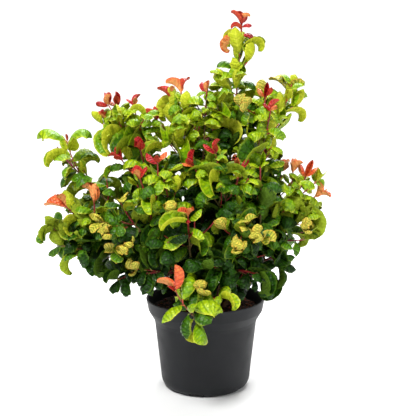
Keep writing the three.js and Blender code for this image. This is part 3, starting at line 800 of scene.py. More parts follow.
def striking_growth(plant):
    """The striking leaves, set one by one on leading shoots and on shoots of their own."""
    bearers = {name: (mass["leader"], mass) for name, mass in plant["masses"].items()}
    for name, (owner, along, end) in STRIKING_SHOOTS.items():
        leader, mass = bearers[owner]
        line = fine_shoot(leader, along, end, *STRIKING_BEND)
        plant["twigs"].append(line)
        bearers[name] = (line, mass)
    leaves = [(name, *leaf) for name, own in STRIKING_LEAVES.items() for leaf in own]
    for number, (name, below, angle, long, pitch, curl, tint) in enumerate(leaves):
        line, mass = bearers[name]
        row = leaf_row(line, below, mass, (STRIKING_SEED, number), 0, YOUNGEST)
        row.update(round=math.radians(angle), length=long, pitch=pitch, curl=curl, tint=tint)
        plant["leaves"].append(row)


def spray_growth(number, mass, along, end, leafy, young, tips, plant):
    """A shoot of the finer growth with leaves by the rule of the shoots."""
    line = fine_shoot(mass["leader"], along, end, *SPRAY_BEND)
    own = dict(mass, seed=SPRAY_SEED + number, leafy=leafy, young=young, tips=tips)
    plant["twigs"].append(line)
    plant["leaves"] += leaves_on(line, own, 0)


def dense_growth(mass, first, last, plant):
    """More leaves along a stretch of a leading shoot."""
    keys = (mass["seed"], 0, DENSE_KEY)
    for n, below in enumerate(np.arange(first, last, DENSE_STEP)):
        row = leaf_row(mass["leader"], below, mass, keys, n + DENSE_SHIFT, mass["young"])
        row["length"] *= DENSE_SIZE
        plant["leaves"].append(row)


def rosette_growth(number, mass, along, end, count, plant):
    """A short twig with a ball of small, crinkled, golden leaves at its end."""
    twig = fine_shoot(mass["leader"], along, end, *ROSETTE_BEND)
    plant["twigs"].append(twig)
    for n in range(count):
        keys = (ROSETTE_SEED + number, n)
        row = leaf_row(twig, ROSETTE_FIRST + ROSETTE_STEP * n, mass, keys, n, TWIG_YOUNG)
        row["length"] = between(ROSETTE_LEAF, *keys, 1)
        row["pitch"] = ROSETTE_PITCH[0] + (ROSETTE_PITCH[1] - ROSETTE_PITCH[0]) * n / (count - 1)
        row["curl"] = -between(ROSETTE_CURL, *keys, 2)
        row["tint"] = "gold"
        plant["leaves"].append(row)
    keys = (ROSETTE_TWIG_SEED + number,)
    rows = leaves_on_twig(twig, mass, keys, ROSETTE_YOUNG, ROSETTE_LEAF_STEP, ROSETTE_DEEP)
    plant["leaves"] += rows[ROSETTE_BARE_LEAVES:]


def in_opening(place):
    """Whether a place lies in a part of the crown that stays open."""
    return any(np.all(place > low) and np.all(place < high) for low, high in OPENINGS)


@functools.cache
def grow():
    """All stems, shoots, finer twigs and leaves of the plant, as lines and rows of numbers."""
    stems = {f"stem_{name}": stem_line(foot, tip) for name, foot, tip, *_ in STEMS}
    masses = {values[0]: dict(zip(MASS_COLUMNS, values)) for values in MASSES}
    plant = {"stems": stems, "masses": masses, "shoots": [], "twigs": [], "leaves": []}
    for name, mass in masses.items():
        mass["stem_line"] = stems[f"stem_{mass['stem']}"]
        for k in range(1 if name in FIRST_ONLY else mass["shoots"]):
            line = shoot_line(mass, k, SHOOT_STEPS)
            mass.setdefault("leader", line)
            shoot_growth(mass, k, line, shoot_line(mass, k, FINE_SHOOT_STEPS), plant)
    for name, low, high in BARE:
        plant["leaves"] = [row for row in plant["leaves"]
                           if row["mass"]["name"] != name or not low < row["below"] < high]
    striking_growth(plant)
    for number, (name, *spray) in enumerate(SPRAYS):
        spray_growth(number, masses[name], *spray, plant)
    for name, first, last in DENSE:
        dense_growth(masses[name], first, last, plant)
    for number, (name, *rosette) in enumerate(ROSETTES):
        rosette_growth(number, masses[name], *rosette, plant)
    for index, (name, line) in enumerate(stems.items()):
        stem_growth(index, name, line, plant)
    plant["leaves"] = [row for row in plant["leaves"] if not in_opening(row["place"])]
    plant["shoots"] = [(line, k) for line, k in plant["shoots"] if not in_opening(line.points[-1])]
    plant["twigs"] = [line for line in plant["twigs"] if not in_opening(line.points[-1])]
    for row in plant["leaves"]:
        if "tint" not in row:
            row["tint"] = tint_of(row)
            if row["tint"] in ("red", "orange"):
                row["length"] *= TUFT_SIZE
                row["pitch"] *= TUFT_PITCH
                row["curl"] *= TUFT_CURL
    return plant


def tint_of(row):
    """The tint of a leaf: by its age at a tip, and below that by its mass and its height, the height giving
    painted shade to the lower leaves.
    """
    mass, below, k = row["mass"], row["below"], row["key"][1]
    tips = mass["tips"]
    luck = chance(*row["key"], 31)
    if tips == "gold" and below < GOLD_REACH[min(k, 1)]:
        return "gold"
    tufted = tips in ("red", "orange") and below < TUFT_REACH
    if tufted and (k == 0 or chance(mass["seed"], k, 40) < TUFT_SHARE):
        return "orange" if tips == "red" and luck < ORANGE_SHARE else tips
    shade = MASS_SHADE[mass["tint"]] + (below - AGE_FROM) / AGE_DEPTH + (luck - 0.5) * SHADE_LUCK
    # Darker the lower a leaf stands: painted shade under the crown
    shade += (SHADE_FROM - row["place"][2]) / SHADE_DEPTH - LIGHTER.get(mass["name"], 0)
    if shade < LIME_UNTIL:
        return "lime"
    return "green" if shade < GREEN_UNTIL else "dark"


def leaf_faces():
    """Faces of one leaf, with 0 for the upper side and 1 for the underside, and each vertex's place on
    it: across from 0 to 1, then along from 0 to 1."""
    rows, columns = LEAF_ROWS, len(LEAF_COLUMNS)
    base, tip = 0, 1 + (rows - 1) * columns

    def upper(i, j):
        return base if i == 0 else tip if i == rows else 1 + (i - 1) * columns + j

    def under(i, j):
        inner = tip + 1 + (i // ROWS_PER_VEIN - 1) * len(UNDER_COLUMNS) + j
        return base if i == 0 else tip if i == rows else inner

    faces, sides = [], []
    for i in range(rows):
        for j in range(columns - 1):
            faces.append([upper(i, j), upper(i, j + 1), upper(i + 1, j + 1), upper(i + 1, j)])
            sides.append(0)
    last = len(UNDER_COLUMNS) - 1
    for i in range(0, rows, ROWS_PER_VEIN):
        far = i + ROWS_PER_VEIN
        for j in range(last):
            faces.append([under(i, j + 1), under(i, j), under(far, j), under(far, j + 1)])
            sides.append(1)
        left = [upper(n, 0) for n in range(i, far + 1)]
        right = [upper(n, columns - 1) for n in range(far, i - 1, -1)]
        faces.append([under(i, 0), *left, under(far, 0)])
        faces.append([under(far, last), *right, under(i, last)])
        sides += [1, 1]
    faces = [[v for n, v in enumerate(loop) if v != loop[n - 1]] for loop in faces]
    places = [(0.5, 0.0)]
    places += [((t + 1) / 2, i / rows) for i in range(1, rows) for t in LEAF_COLUMNS]
    places.append((0.5, 1.0))
    places += [((LEAF_COLUMNS[j] + 1) / 2, i / rows)
               for i in range(ROWS_PER_VEIN, rows, ROWS_PER_VEIN) for j in UNDER_COLUMNS]
    return faces, sides, np.array(places)


def half_width(s):
    """Half the leaf's width at a share of its length, as a part of the greatest."""
    s = np.clip(s, 0, 1)
    return s**OUTLINE_BASE * (1 - s) ** OUTLINE_TIP / OUTLINE_PEAK


def column(rows, name):
    """One number or place of each leaf in rows."""
    return np.array([row[name] for row in rows], float)


def draw(rows, number, limits=(0, 1)):
    """A chance number between a least and a most for each leaf in rows."""
    return np.array([between(limits, *row["key"], number) for row in rows])


def leaf_directions(rows):
    """For each leaf the way that it starts, the way that its upper side faces and the way across."""
    aim, turn, roll = (column(rows, name) for name in ("aim", "round", "roll"))
    pitch = np.radians(column(rows, "pitch"))
    first, second = square(aim)
    outward = first * np.cos(turn)[:, None] + second * np.sin(turn)[:, None]
    ahead = unit(aim * np.cos(pitch)[:, None] + outward * np.sin(pitch)[:, None] + LEAF_RISE * UP)
    face = aim * FACE_ALONG + UP * FACE_RISE
    face -= ahead * np.sum(face * ahead, axis=1, keepdims=True)
    other = aim - ahead * np.sum(aim * ahead, axis=1, keepdims=True)
    weak = np.linalg.norm(face, axis=1) < WEAK_FACE
    face = unit(np.where(weak[:, None], other, face))
    beside = np.cross(ahead, face)
    face = unit(face * np.cos(roll)[:, None] + beside * np.sin(roll)[:, None])
    return ahead, face, np.cross(face, ahead)


def leaf_bases(rows, stalk):
    """Where the stalk of each leaf starts and ends, how long its blade is and which way it starts."""
    ahead = leaf_directions(rows)[0]
    place, whole = column(rows, "place"), column(rows, "length")
    return place, place + ahead * (stalk * whole)[:, None], whole * (1 - stalk), ahead


def midrib_frames(rows, settings):
    """Places along each leaf's midrib, and there the ways ahead and up and the blade's length."""
    ahead, face, sideways = leaf_directions(rows)
    base, length = leaf_bases(rows, settings.stalk)[1:3]
    curl = column(rows, "curl") * settings.curl
    curl = np.where(curl < 0, curl * settings.incurl, curl)
    hook = draw(rows, 21, HOOK)[:, None]
    steps = np.linspace(0, 1, LEAF_ROWS * SUBSTEPS + 1)
    bent = curl[:, None] * ((1 - hook) * steps + hook * steps**HOOK_POWER)
    swerve = draw(rows, 28, BOTH_WAYS)[:, None] * settings.swerve * steps**SWERVE_POWER
    flat = np.cos(swerve)[..., None] * ahead[:, None] + np.sin(swerve)[..., None] * sideways[:, None]
    tangent = np.cos(bent)[..., None] * flat - np.sin(bent)[..., None] * face[:, None]
    normal = np.cos(bent)[..., None] * face[:, None] + np.sin(bent)[..., None] * flat
    walk = np.cumsum((tangent[:, 1:] + tangent[:, :-1]) / 2, axis=1)
    path = np.concatenate([np.zeros((len(rows), 1, 3)), walk], axis=1)
    path = base[:, None] + path * (length / (LEAF_ROWS * SUBSTEPS))[:, None, None]
    return path[:, ::SUBSTEPS], tangent[:, ::SUBSTEPS], normal[:, ::SUBSTEPS], length


def leaf_points(rows, settings):
    """Places of all vertices of the leaves in rows, in millimetres."""
    count = len(rows)
    path, tangent, normal, length = midrib_frames(rows, settings)
    s = np.linspace(0, 1, LEAF_ROWS + 1)
    twist = draw(rows, 22, BOTH_WAYS)[:, None] * settings.twist * s
    beside = np.cross(normal, tangent)
    across = beside * np.cos(twist)[..., None] + normal * np.sin(twist)[..., None]
    normal = np.cross(tangent, across)
    inward = column(rows, "curl") * settings.curl < 0
    young = np.array([row["tint"] in YOUNG_TINTS for row in rows])
    opened = np.where([row["tint"] == "gold" for row in rows], GOLD_FOLD, 1)
    crumple = np.array([CRUMPLE[row["tint"]] for row in rows])
    width = settings.width * draw(rows, 23, WIDTHS) * length / 2
    arch = settings.arch * draw(rows, 24, ARCHES) * np.where(inward, INCURVED_ARCH, 1) * opened
    fold = settings.fold * draw(rows, 29, FOLDS) * opened
    cupped = draw(rows, 25) < settings.cupped * np.where(young, YOUNG_CUPPED, 1)
    way = np.where(inward | cupped, -1, 1)
    wave = draw(rows, 26, WAVES) * settings.wave * (1 + WAVE_CRUMPLE * crumple)
    phase = 2 * math.pi * draw(rows, 27)
    swell = np.sin(2 * math.pi * np.arange(LEAF_ROWS + 1) / ROWS_PER_VEIN - math.pi / 2)
    reliefs = {0.0: np.full(LEAF_ROWS + 1, MIDRIB_RELIEF), 0.5: swell, 1.0: MARGIN_RELIEF * swell}
    pucker = settings.pucker * crumple[:, None] * length[:, None] * half_width(s)
    upper = np.zeros((count, LEAF_ROWS + 1, len(LEAF_COLUMNS), 3))
    for j, t in enumerate(LEAF_COLUMNS):
        sweep = settings.vein_sweep * abs(t) * np.sin(math.pi * s)
        half = width[:, None] * half_width(s + sweep)
        lean = fold + arch * abs(t)
        reach = np.sign(t) * half * ((np.sin(lean) - np.sin(fold)) / arch)[:, None]
        drop = half * (way * (np.cos(fold) - np.cos(lean)) / arch)[:, None]
        ripple = np.sin(2 * math.pi * RIPPLES * s + phase[:, None] + (RIPPLE_SHIFT if t > 0 else 0))
        waves = wave[:, None] * length[:, None] * ripple * abs(t) ** 3 * half_width(s)
        lift = pucker * reliefs[abs(t)] + waves
        upper[:, :, j] = path + tangent * (sweep * length[:, None])[..., None] \
            + across * reach[..., None] + normal * (lift - drop)[..., None]
    veins = np.arange(ROWS_PER_VEIN, LEAF_ROWS, ROWS_PER_VEIN)
    thick = np.clip(settings.thickness / MM * length / LEAF_LENGTH, THINNEST, None)[:, None, None, None]
    lower = upper[:, veins][:, :, UNDER_COLUMNS] - normal[:, veins][:, :, None] * thick
    middle = len(LEAF_COLUMNS) // 2
    return np.concatenate([
        upper[:, 0, middle][:, None],
        upper[:, 1:-1].reshape(count, -1, 3),
        upper[:, -1, middle][:, None],
        lower.reshape(count, -1, 3),
    ], axis=1)


def srgb(red, green, blue):
    """A colour given as it looks on a screen, 0 to 255, as the shader wants it."""
    values = [value / 255 for value in (red, green, blue)]
    return tuple(v / 12.92 if v <= 0.04045 else ((v + 0.055) / 1.055) ** 2.4 for v in values)


class Finish:
    """A procedural material, with short ways to add nodes to it."""

    def __init__(self, name, roughness, specular=0.5):
        self.material = bpy.data.materials.new(name)
        self.material.use_nodes = True
        self.tree = self.material.node_tree
        self.shader = self.tree.nodes["Principled BSDF"]
        self.set(self.shader, {"Roughness": roughness, "Specular IOR Level": specular})
        self.place = self.add("TexCoord").outputs["Object"]

    def set(self, node, values):
        """Gives inputs of a node, by name or number, a value or the output of another node."""
        for key, value in values.items():
            if isinstance(value, bpy.types.NodeSocket):
                self.tree.links.new(value, node.inputs[key])
            elif isinstance(value, tuple) and len(value) == 3 and node.inputs[key].type == "RGBA":
                node.inputs[key].default_value = (*value, 1)
            else:
                node.inputs[key].default_value = value

    def add(self, kind, values=None, **options):
        """Adds a shader node with its options and inputs."""
        node = self.tree.nodes.new("ShaderNode" + kind)
        for option, value in options.items():
            setattr(node, option, value)
        self.set(node, values or {})
        return node

    def math(self, operation, first, second=0.0):
        """The result of one sum."""
        return self.add("Math", {0: first, 1: second}, operation=operation).outputs[0]

    def ramp(self, value, low, high, start=0.0, end=1.0):
        """A value between two limits brought to the stretch from start to end."""
        values = {"Value": value, "From Min": low, "From Max": high, "To Min": start, "To Max": end}
        return self.add("MapRange", values).outputs["Result"]

    def cloud(self, scale, detail=3.0):
        """Soft noise over the object."""
        return self.add("TexNoise", {"Vector": self.place, "Scale": scale, "Detail": detail}).outputs["Fac"]

    def mix(self, share, first, second):
        """Two colours mixed."""
        node = self.add("Mix", data_type="RGBA")
        self.set(node, {"Factor": share, "A": first, "B": second})
        return node.outputs["Result"]

    def color(self, value):
        """Sets the base colour."""
        self.set(self.shader, {"Base Color": value})

    def relief(self, height, strength, distance):
        """Adds a fine relief of a height in metres to the surface."""
        values = {"Height": height, "Strength": strength, "Distance": distance}
        self.set(self.shader, {"Normal": self.add("Bump", values).outputs["Normal"]})


def leaf_finish(tint, light, under):
    """A leaf's finish: clouds of two near colours and a pale margin; on the upper side painted shade in the
    vein grooves, along the midrib and in small hollows, on the underside pale veins and midrib and painted
    shade in the hollows.
    """
    # deep is the painted shade of the grooves, the midrib and the hollows
    shade, deep, back, edge = (srgb(*color) for color in LEAF_COLORS[tint][1:5])
    rough, gloss = LEAF_COLORS[tint][5:]
    finish = Finish(f"leaf_{tint}_{'under' if under else 'upper'}", UNDER_ROUGHNESS if under else rough,
                    gloss / 2 if under else gloss)
    flat = finish.add("UVMap", uv_map="leaf").outputs["UV"]
    split = finish.add("SeparateXYZ", {"Vector": flat}).outputs
    across = finish.math("ABSOLUTE", finish.math("SUBTRACT", finish.math("MULTIPLY", split["X"], 2.0), 1.0))
    turns = finish.math("MULTIPLY", split["Y"], 2 * math.pi * VEINS)
    swell = finish.math("SINE", finish.math("SUBTRACT", turns, math.pi / 2))
    groove = finish.ramp(swell, *GROOVE)
    midrib = finish.ramp(across, *MIDRIB)
    margin = finish.ramp(across, *MARGIN)
    cells = finish.add("TexVoronoi", {"Vector": finish.place, "Scale": LEAF_CELLS}).outputs["Distance"]
    hollow = finish.ramp(cells, *HOLLOW)
    below = under and tint != "gold"
    second = tuple(UNDER_PATCHES * part for part in back) if under else shade
    # Painted shade for the hollows: the groove colour above, half the underside's patch colour below
    dark = tuple(0.5 * part for part in second) if below else deep
    veins = UNDER_VEIN_SHARE if below else GOLD_GROOVE_SHADE_SHARE if tint == "gold" else GROOVE_SHADE_SHARE
    clouds = finish.ramp(finish.cloud(LEAF_CLOUDS), *CLOUD_EDGES)
    color = finish.mix(clouds, back if below else light, second)
    # Painted shade: vein grooves, upper midrib and hollows darkened; the underside's veins and midrib are
    # pale
    for share, place, line in (
        (veins, groove, edge if below else dark),
        (MIDRIB_SHARE, midrib, edge if under else dark),
        (UNDER_HOLLOW_SHARE if below else HOLLOW_SHARE, hollow, dark),
        (MARGIN_SHARE, margin, edge),
    ):
        color = finish.mix(finish.math("MULTIPLY", place, share), color, line)
    finish.color(color)
    grain = finish.math("MULTIPLY", finish.cloud(LEAF_GRAIN, GRAIN_DETAIL), GRAIN_SHARE)
    fine = finish.math("SUBTRACT", grain, hollow)
    raised = groove if below else finish.math("MULTIPLY", swell, 0.5)
    strength = UNDER_RELIEF if below else UPPER_RELIEF
    finish.relief(finish.math("ADD", raised, fine), strength, LEAF_RELIEF_DEPTH)
    return finish.material


def simple_finish(name, first, second=None):
    """Clouds of two near colours over a fine grain; the second is a darker first if not given."""
    roughness, gloss, scale, grain, depth = FINISHES[name]
    second = second or tuple(0.5 * part for part in first)
    finish = Finish(name, roughness, gloss)
    finish.color(finish.mix(finish.ramp(finish.cloud(scale, 4.0), *SIMPLE_EDGES), first, second))
    finish.relief(finish.cloud(grain), 0.5, depth)
    return finish.material


def pot_finish(color):
    """Matt dark grey plastic with a fine grain and faint worn patches."""
    finish = Finish("pot_plastic", 0.5, POT_SHINE)
    patches = finish.ramp(finish.cloud(POT_PATCHES, PATCH_DETAIL), *PATCH_EDGES)
    finish.color(finish.mix(patches, color, tuple(POT_WORN * part for part in color)))
    roughness = finish.ramp(finish.cloud(POT_GLOSS, GLOSS_DETAIL), *GLOSS_EDGES, *POT_ROUGHNESS)
    finish.set(finish.shader, {"Roughness": roughness})
    finish.relief(finish.cloud(POT_GRAIN), POT_GRAIN_STRENGTH, POT_GRAIN_DEPTH)
    return finish.material


def add_object(name, data):
    """A new object in the scene."""
    thing = bpy.data.objects.new(name, data)
    bpy.context.scene.collection.objects.link(thing)
    return thing


def mesh_piece(name, points, faces, materials, slots=None, smooth_angle=60):
    """A piece from places in millimetres, faces and the material slot of each face."""
    mesh = bpy.data.meshes.new(name)
    mesh.from_pydata((np.asarray(points) * MM).tolist(), [], faces)
    for material in materials:
        mesh.materials.append(material)
    if slots is not None:
        mesh.polygons.foreach_set("material_index", slots)
    mesh.polygons.foreach_set("use_smooth", [True] * len(mesh.polygons))
    mesh.update()
    mesh.set_sharp_from_angle(angle=math.radians(smooth_angle))
    return add_object(name, mesh)


def settle(piece):
    """Makes the evaluated shape of a piece its own plain mesh, and takes its modifiers off."""
    graph = bpy.context.evaluated_depsgraph_get()
    mesh = bpy.data.meshes.new_from_object(piece.evaluated_get(graph), depsgraph=graph)
    piece.modifiers.clear()
    piece.data = mesh
    mesh.name = piece.name
    if not mesh.polygons:
        raise RuntimeError(f"{piece.name} came out without faces")


def seat(piece, slot, *nodes):
    """Hands a finished piece over: it rides with the pot and takes the place of nodes."""
    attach(piece, "root")
    if nodes:
        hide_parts(*nodes)


def node_group(name, inputs):
    """An empty group of geometry nodes with named inputs; returns it and its two end nodes."""
    group = bpy.data.node_groups.new(name, "GeometryNodeTree")
    group.interface.new_socket(name="Geometry", in_out="INPUT", socket_type="NodeSocketGeometry")
    for label, kind in inputs:
        group.interface.new_socket(name=label, in_out="INPUT", socket_type="NodeSocket" + kind)
    group.interface.new_socket(name="Geometry", in_out="OUTPUT", socket_type="NodeSocketGeometry")
    return group, group.nodes.new("NodeGroupInput"), group.nodes.new("NodeGroupOutput")


def place_node(group, kind, values):
    """Adds a node to a group of geometry nodes; values are numbers or outputs of other nodes."""
    node = group.nodes.new(kind)
    for key, value in values.items():
        if isinstance(value, bpy.types.NodeSocket):
            group.links.new(value, node.inputs[key])
        else:
            node.inputs[key].default_value = value
    return node


def run_group(piece, group, values):
    """Runs a group of geometry nodes on a piece with its inputs set, and settles the result."""
    modifier = piece.modifiers.new(group.name, "NODES")
    modifier.node_group = group
    for item in group.interface.items_tree:
        if item.item_type == "SOCKET" and item.in_out == "INPUT" and item.name in values:
            modifier[item.identifier] = values[item.name]
    settle(piece)


def rounded(profile, radius, steps=4):
    """A profile of [radius, height] with each corner between its ends rounded."""
    profile = [np.array(point, float) for point in profile]
    points = [profile[0]]
    for before, corner, after in zip(profile, profile[1:], profile[2:]):
        back, on = before - corner, after - corner
        cut = min(radius, np.linalg.norm(back) / CORNER_ROOM, np.linalg.norm(on) / CORNER_ROOM)
        first, last = corner + unit(back) * cut, corner + unit(on) * cut
        for n in range(steps + 1):
            t = n / steps
            points.append(first * (1 - t) ** 2 + corner * 2 * t * (1 - t) + last * t * t)
    return points + [profile[-1]]


def turned(profile, sides):
    """Points and faces of a solid of revolution whose profile starts and ends on the axis."""
    angles = np.arange(sides) * 2 * math.pi / sides
    points = [(0, 0, profile[0][1]), (0, 0, profile[-1][1])]
    for radius, height in profile[1:-1]:
        points += [(radius * math.cos(a), radius * math.sin(a), height) for a in angles]
    rings = len(profile) - 2
    faces = []

    def at(ring, n):
        return 2 + ring * sides + n % sides

    for n in range(sides):
        faces.append([0, at(0, n + 1), at(0, n)])
        faces.append([1, at(rings - 1, n), at(rings - 1, n + 1)])
        for ring in range(rings - 1):
            faces.append([at(ring, n), at(ring, n + 1), at(ring + 1, n + 1), at(ring + 1, n)])
    return np.array(points, float), faces


def foot_corner(wall_radius, bottom, steps):
    """The quarter round between a level bottom and the foot of a wall."""
    turns = [math.pi / 2 * n / steps for n in range(steps + 1)]
    return [(FOOT_RADIUS + (wall_radius - FOOT_RADIUS) * math.sin(turn),
             WALL_FOOT_HEIGHT - (WALL_FOOT_HEIGHT - bottom) * math.cos(turn)) for turn in turns]


def build_pot(settings):
    """The pot, with its thin rim, band, neck, recessed underside and drain notches."""
    slope_start, slope_end = PAD_RADIUS + PAD_SLOPE, FOOT_INNER_RADIUS - PAD_SLOPE
    outside = [
        (0, 0), (PAD_RADIUS, 0), (slope_start, FOOT_RECESS), (slope_end, FOOT_RECESS),
        (FOOT_INNER_RADIUS, 0), *foot_corner(WALL_FOOT_RADIUS, 0, FOOT_STEPS),
        (WALL_TOP_RADIUS, WALL_TOP_HEIGHT), (NECK_RADIUS, NECK_HEIGHT), (LIP_RADIUS, LIP_HEIGHT),
        (RIM_RADIUS, POT_HEIGHT - RIM_EDGE), (RIM_RADIUS, POT_HEIGHT),
        (RIM_RADIUS - RIM_THICKNESS, POT_HEIGHT),
    ]
    inside = [
        (LIP_RADIUS - WALL, LIP_HEIGHT), (NECK_RADIUS - WALL, NECK_HEIGHT),
        (WALL_TOP_RADIUS - WALL, WALL_TOP_HEIGHT),
        *foot_corner(WALL_FOOT_RADIUS - WALL, POT_FLOOR, INNER_FOOT_STEPS)[::-1], (0, POT_FLOOR),
    ]
    points, faces = turned(rounded(outside + inside, settings.rounding / MM), settings.sides)
    plastic = pot_finish(tuple(settings.color))
    piece = mesh_piece("pot_shell", points, faces, [plastic], smooth_angle=POT_SMOOTH)
    half = np.array([NOTCH_LENGTH / 2, NOTCH_WIDTH / 2, NOTCH_HEIGHT])
    cutters, cut_faces = [], []
    for n in range(NOTCHES):
        angle = NOTCH_FIRST_ANGLE + 2 * math.pi * n / NOTCHES
        cutters += [turn_z(np.array(corner) * half + (NOTCH_RADIUS, 0, 0), angle) for corner in BOX_CORNERS]
        cut_faces += [[v + len(BOX_CORNERS) * n for v in face] for face in BOX_FACES]
    cutter = mesh_piece("notches", cutters, cut_faces, [])
    cut = piece.modifiers.new("drain_notches", "BOOLEAN")
    cut.operation, cut.solver, cut.object = "DIFFERENCE", "EXACT", cutter
    bpy.context.view_layer.update()
    settle(piece)
    bpy.data.objects.remove(cutter)
    piece.data.set_sharp_from_angle(angle=math.radians(POT_SMOOTH))
    seat(piece, "pot_plastic", "pot")


def turn_z(point, angle):
    """A point turned about the pot's axis."""
    x, y, z = point
    return (x * math.cos(angle) - y * math.sin(angle), x * math.sin(angle) + y * math.cos(angle), z)


def soil_height(x, y, rough):
    """The height of the potting mix: level where the stems stand, lower and uneven further out."""
    far = min(1.0, max(0.0, (math.hypot(x, y) - SOIL_FLAT_RADIUS) / (LIP_RADIUS - SOIL_FLAT_RADIUS)))
    bumps = noise.fractal(Vector((x, y, SOIL_SLICE)) / SOIL_BUMP, *SOIL_FRACTAL)
    unrest = SOIL_CALM + (1 - SOIL_CALM) * min(1, SOIL_ROUGHENING * far)
    return SOIL_TOP - SOIL_EDGE_DROP * far**2 + rough * (bumps - 1.0) * unrest


def build_potting_mix(settings):
    """The potting mix, with crumbs and chips of bark scattered over its top."""
    inset = WALL + SOIL_GAP
    edge = LIP_RADIUS - inset
    bottom = POT_FLOOR + SOIL_FLOOR_GAP
    profile = [(0, bottom), *foot_corner(WALL_FOOT_RADIUS - inset, bottom, SOIL_FOOT_STEPS),
               (WALL_TOP_RADIUS - inset, WALL_TOP_HEIGHT), (NECK_RADIUS - inset, NECK_HEIGHT),
               (edge, LIP_HEIGHT)]
    first_top = 2 + (len(profile) - 1) * settings.sides
    rings = settings.rings
    profile += [(edge * (1 - n / rings), SOIL_TOP) for n in range(1, rings)] + [(0, SOIL_TOP)]
    points, faces = turned(profile, settings.sides)
    for n in [1, *range(first_top, len(points))]:
        points[n][2] = soil_height(points[n][0], points[n][1], settings.roughness / MM)
    earth = simple_finish("potting_mix", tuple(settings.color))
    bark = simple_finish("bark_chips", tuple(settings.chip_color))
    piece = mesh_piece("potting_mix_body", points, faces, [earth], smooth_angle=SOIL_SMOOTH)
    top = [face for face in faces if all(v == 1 or v >= first_top + settings.sides for v in face)]
    seat(piece, "potting_mix", "potting_mix")
    scatter = scatter_group()
    for name, material, density, largest, flat, seed in (
        ("potting_mix_crumbs", earth, settings.crumbs, settings.crumb_size, CRUMB_FLATNESS, 1),
        ("bark_chips", bark, settings.chips, settings.chip_size, CHIP_FLATNESS, 2),
    ):
        layer = mesh_piece(name, points, top, [material])
        run_group(layer, scatter, {
            "Density": density, "Smallest": largest * SMALLEST_LUMP, "Largest": largest,
            "Flatness": flat, "Seed": settings.seed + seed, "Finish": material,
        })
        seat(layer, "potting_mix")


def scatter_group():
    """Geometry nodes that scatter small, uneven lumps of random size over a surface."""
    group, source, result = node_group("scatter_lumps", (
        ("Density", "Float"), ("Smallest", "Float"), ("Largest", "Float"), ("Flatness", "Float"),
        ("Seed", "Int"), ("Finish", "Material")))
    given = source.outputs
    spots = place_node(group, "GeometryNodeDistributePointsOnFaces",
                       {"Mesh": given["Geometry"], "Density": given["Density"], "Seed": given["Seed"]})
    lump = place_node(group, "GeometryNodeMeshIcoSphere", {"Radius": 1.0, "Subdivisions": 1})
    size, turn, stretch = (group.nodes.new("FunctionNodeRandomValue") for n in range(3))
    size.data_type, turn.data_type, stretch.data_type = "FLOAT", "FLOAT_VECTOR", "FLOAT_VECTOR"
    turn.inputs[0].default_value = (-LUMP_TILT, -LUMP_TILT, 0)
    turn.inputs[1].default_value = (LUMP_TILT, LUMP_TILT, 2 * math.pi)
    stretch.inputs[0].default_value = LUMP_LEAST
    for n, node in enumerate((size, turn, stretch)):
        own = place_node(group, "FunctionNodeIntegerMath", {0: given["Seed"], 1: 10 * n})
        group.links.new(own.outputs[0], node.inputs["Seed"])
    group.links.new(given["Smallest"], size.inputs[2])
    group.links.new(given["Largest"], size.inputs[3])
    limits = place_node(group, "ShaderNodeCombineXYZ", {"X": 1.0, "Y": LUMP_BREADTH, "Z": given["Flatness"]})
    group.links.new(limits.outputs[0], stretch.inputs[1])
    scale = group.nodes.new("ShaderNodeVectorMath")
    scale.operation = "SCALE"
    group.links.new(stretch.outputs[0], scale.inputs[0])
    group.links.new(size.outputs[1], scale.inputs["Scale"])
    lumps = place_node(group, "GeometryNodeInstanceOnPoints",
                       {"Points": spots.outputs["Points"], "Instance": lump.outputs["Mesh"],
                        "Rotation": turn.outputs[0], "Scale": scale.outputs[0]})
    real = place_node(group, "GeometryNodeRealizeInstances", {"Geometry": lumps.outputs["Instances"]})
    done = place_node(group, "GeometryNodeSetMaterial",
                      {"Geometry": real.outputs["Geometry"], "Material": given["Finish"]})
    group.links.new(done.outputs["Geometry"], result.inputs["Geometry"])
    return group


def bark_radius(radius, angle, walked, seed, ridge):
    """The radius of a stem with its bark: long ridges, cracks and a swelling at each old leaf scar."""
    relief = 0.0
    for waves, long, depth in BARK_RELIEFS:
        spot = (waves * math.cos(angle), waves * math.sin(angle), walked / long + STEM_APART * seed)
        relief += depth * noise.noise(Vector(spot))
    number = round(walked / SCAR_SPACING)
    near = math.exp(-(((walked - number * SCAR_SPACING) / SCAR_LENGTH) ** 2))
    side = max(0.0, math.cos(angle - GOLDEN_ANGLE * number))
    return radius * (1 + ridge * relief + SCAR_SWELL * near * (SCAR_RING + side))


def build_stems(plant, settings):
    """The stems, with their taper, flared feet and bark."""
    points, faces = [], []
    sides = settings.sides
    for seed, ((*_, base, end), line) in enumerate(zip(STEMS, plant["stems"].values())):
        rings = int(line.length / (settings.ring_step / MM))
        start = len(points)
        turn = np.array([1.0, 0, 0])
        for i in range(rings + 1):
            walked = line.length * i / rings
            place, aim = line.at(walked)
            aim = UP if i == 0 else aim
            turn = unit(turn - aim * turn.dot(aim))
            other = np.cross(aim, turn)
            radius = (base + (end - base) * i / rings) * (1 + FLARE * math.exp(-walked / FLARE_HEIGHT))
            for n in range(sides):
                angle = 2 * math.pi * n / sides
                reach = bark_radius(radius, angle, walked, seed, settings.ridge)
                points.append(place + reach * (turn * math.cos(angle) + other * math.sin(angle)))
        for i in range(rings):
            low, high = start + i * sides, start + (i + 1) * sides
            for n in range(sides):
                m = (n + 1) % sides
                faces.append([low + n, low + m, high + m, high + n])
        faces.append([start + n for n in range(sides)][::-1])
        faces.append([start + rings * sides + n for n in range(sides)])
    piece = mesh_piece("stems_with_bark", points, faces, [simple_finish("bark", tuple(settings.color))])
    seat(piece, "bark", *plant["stems"])


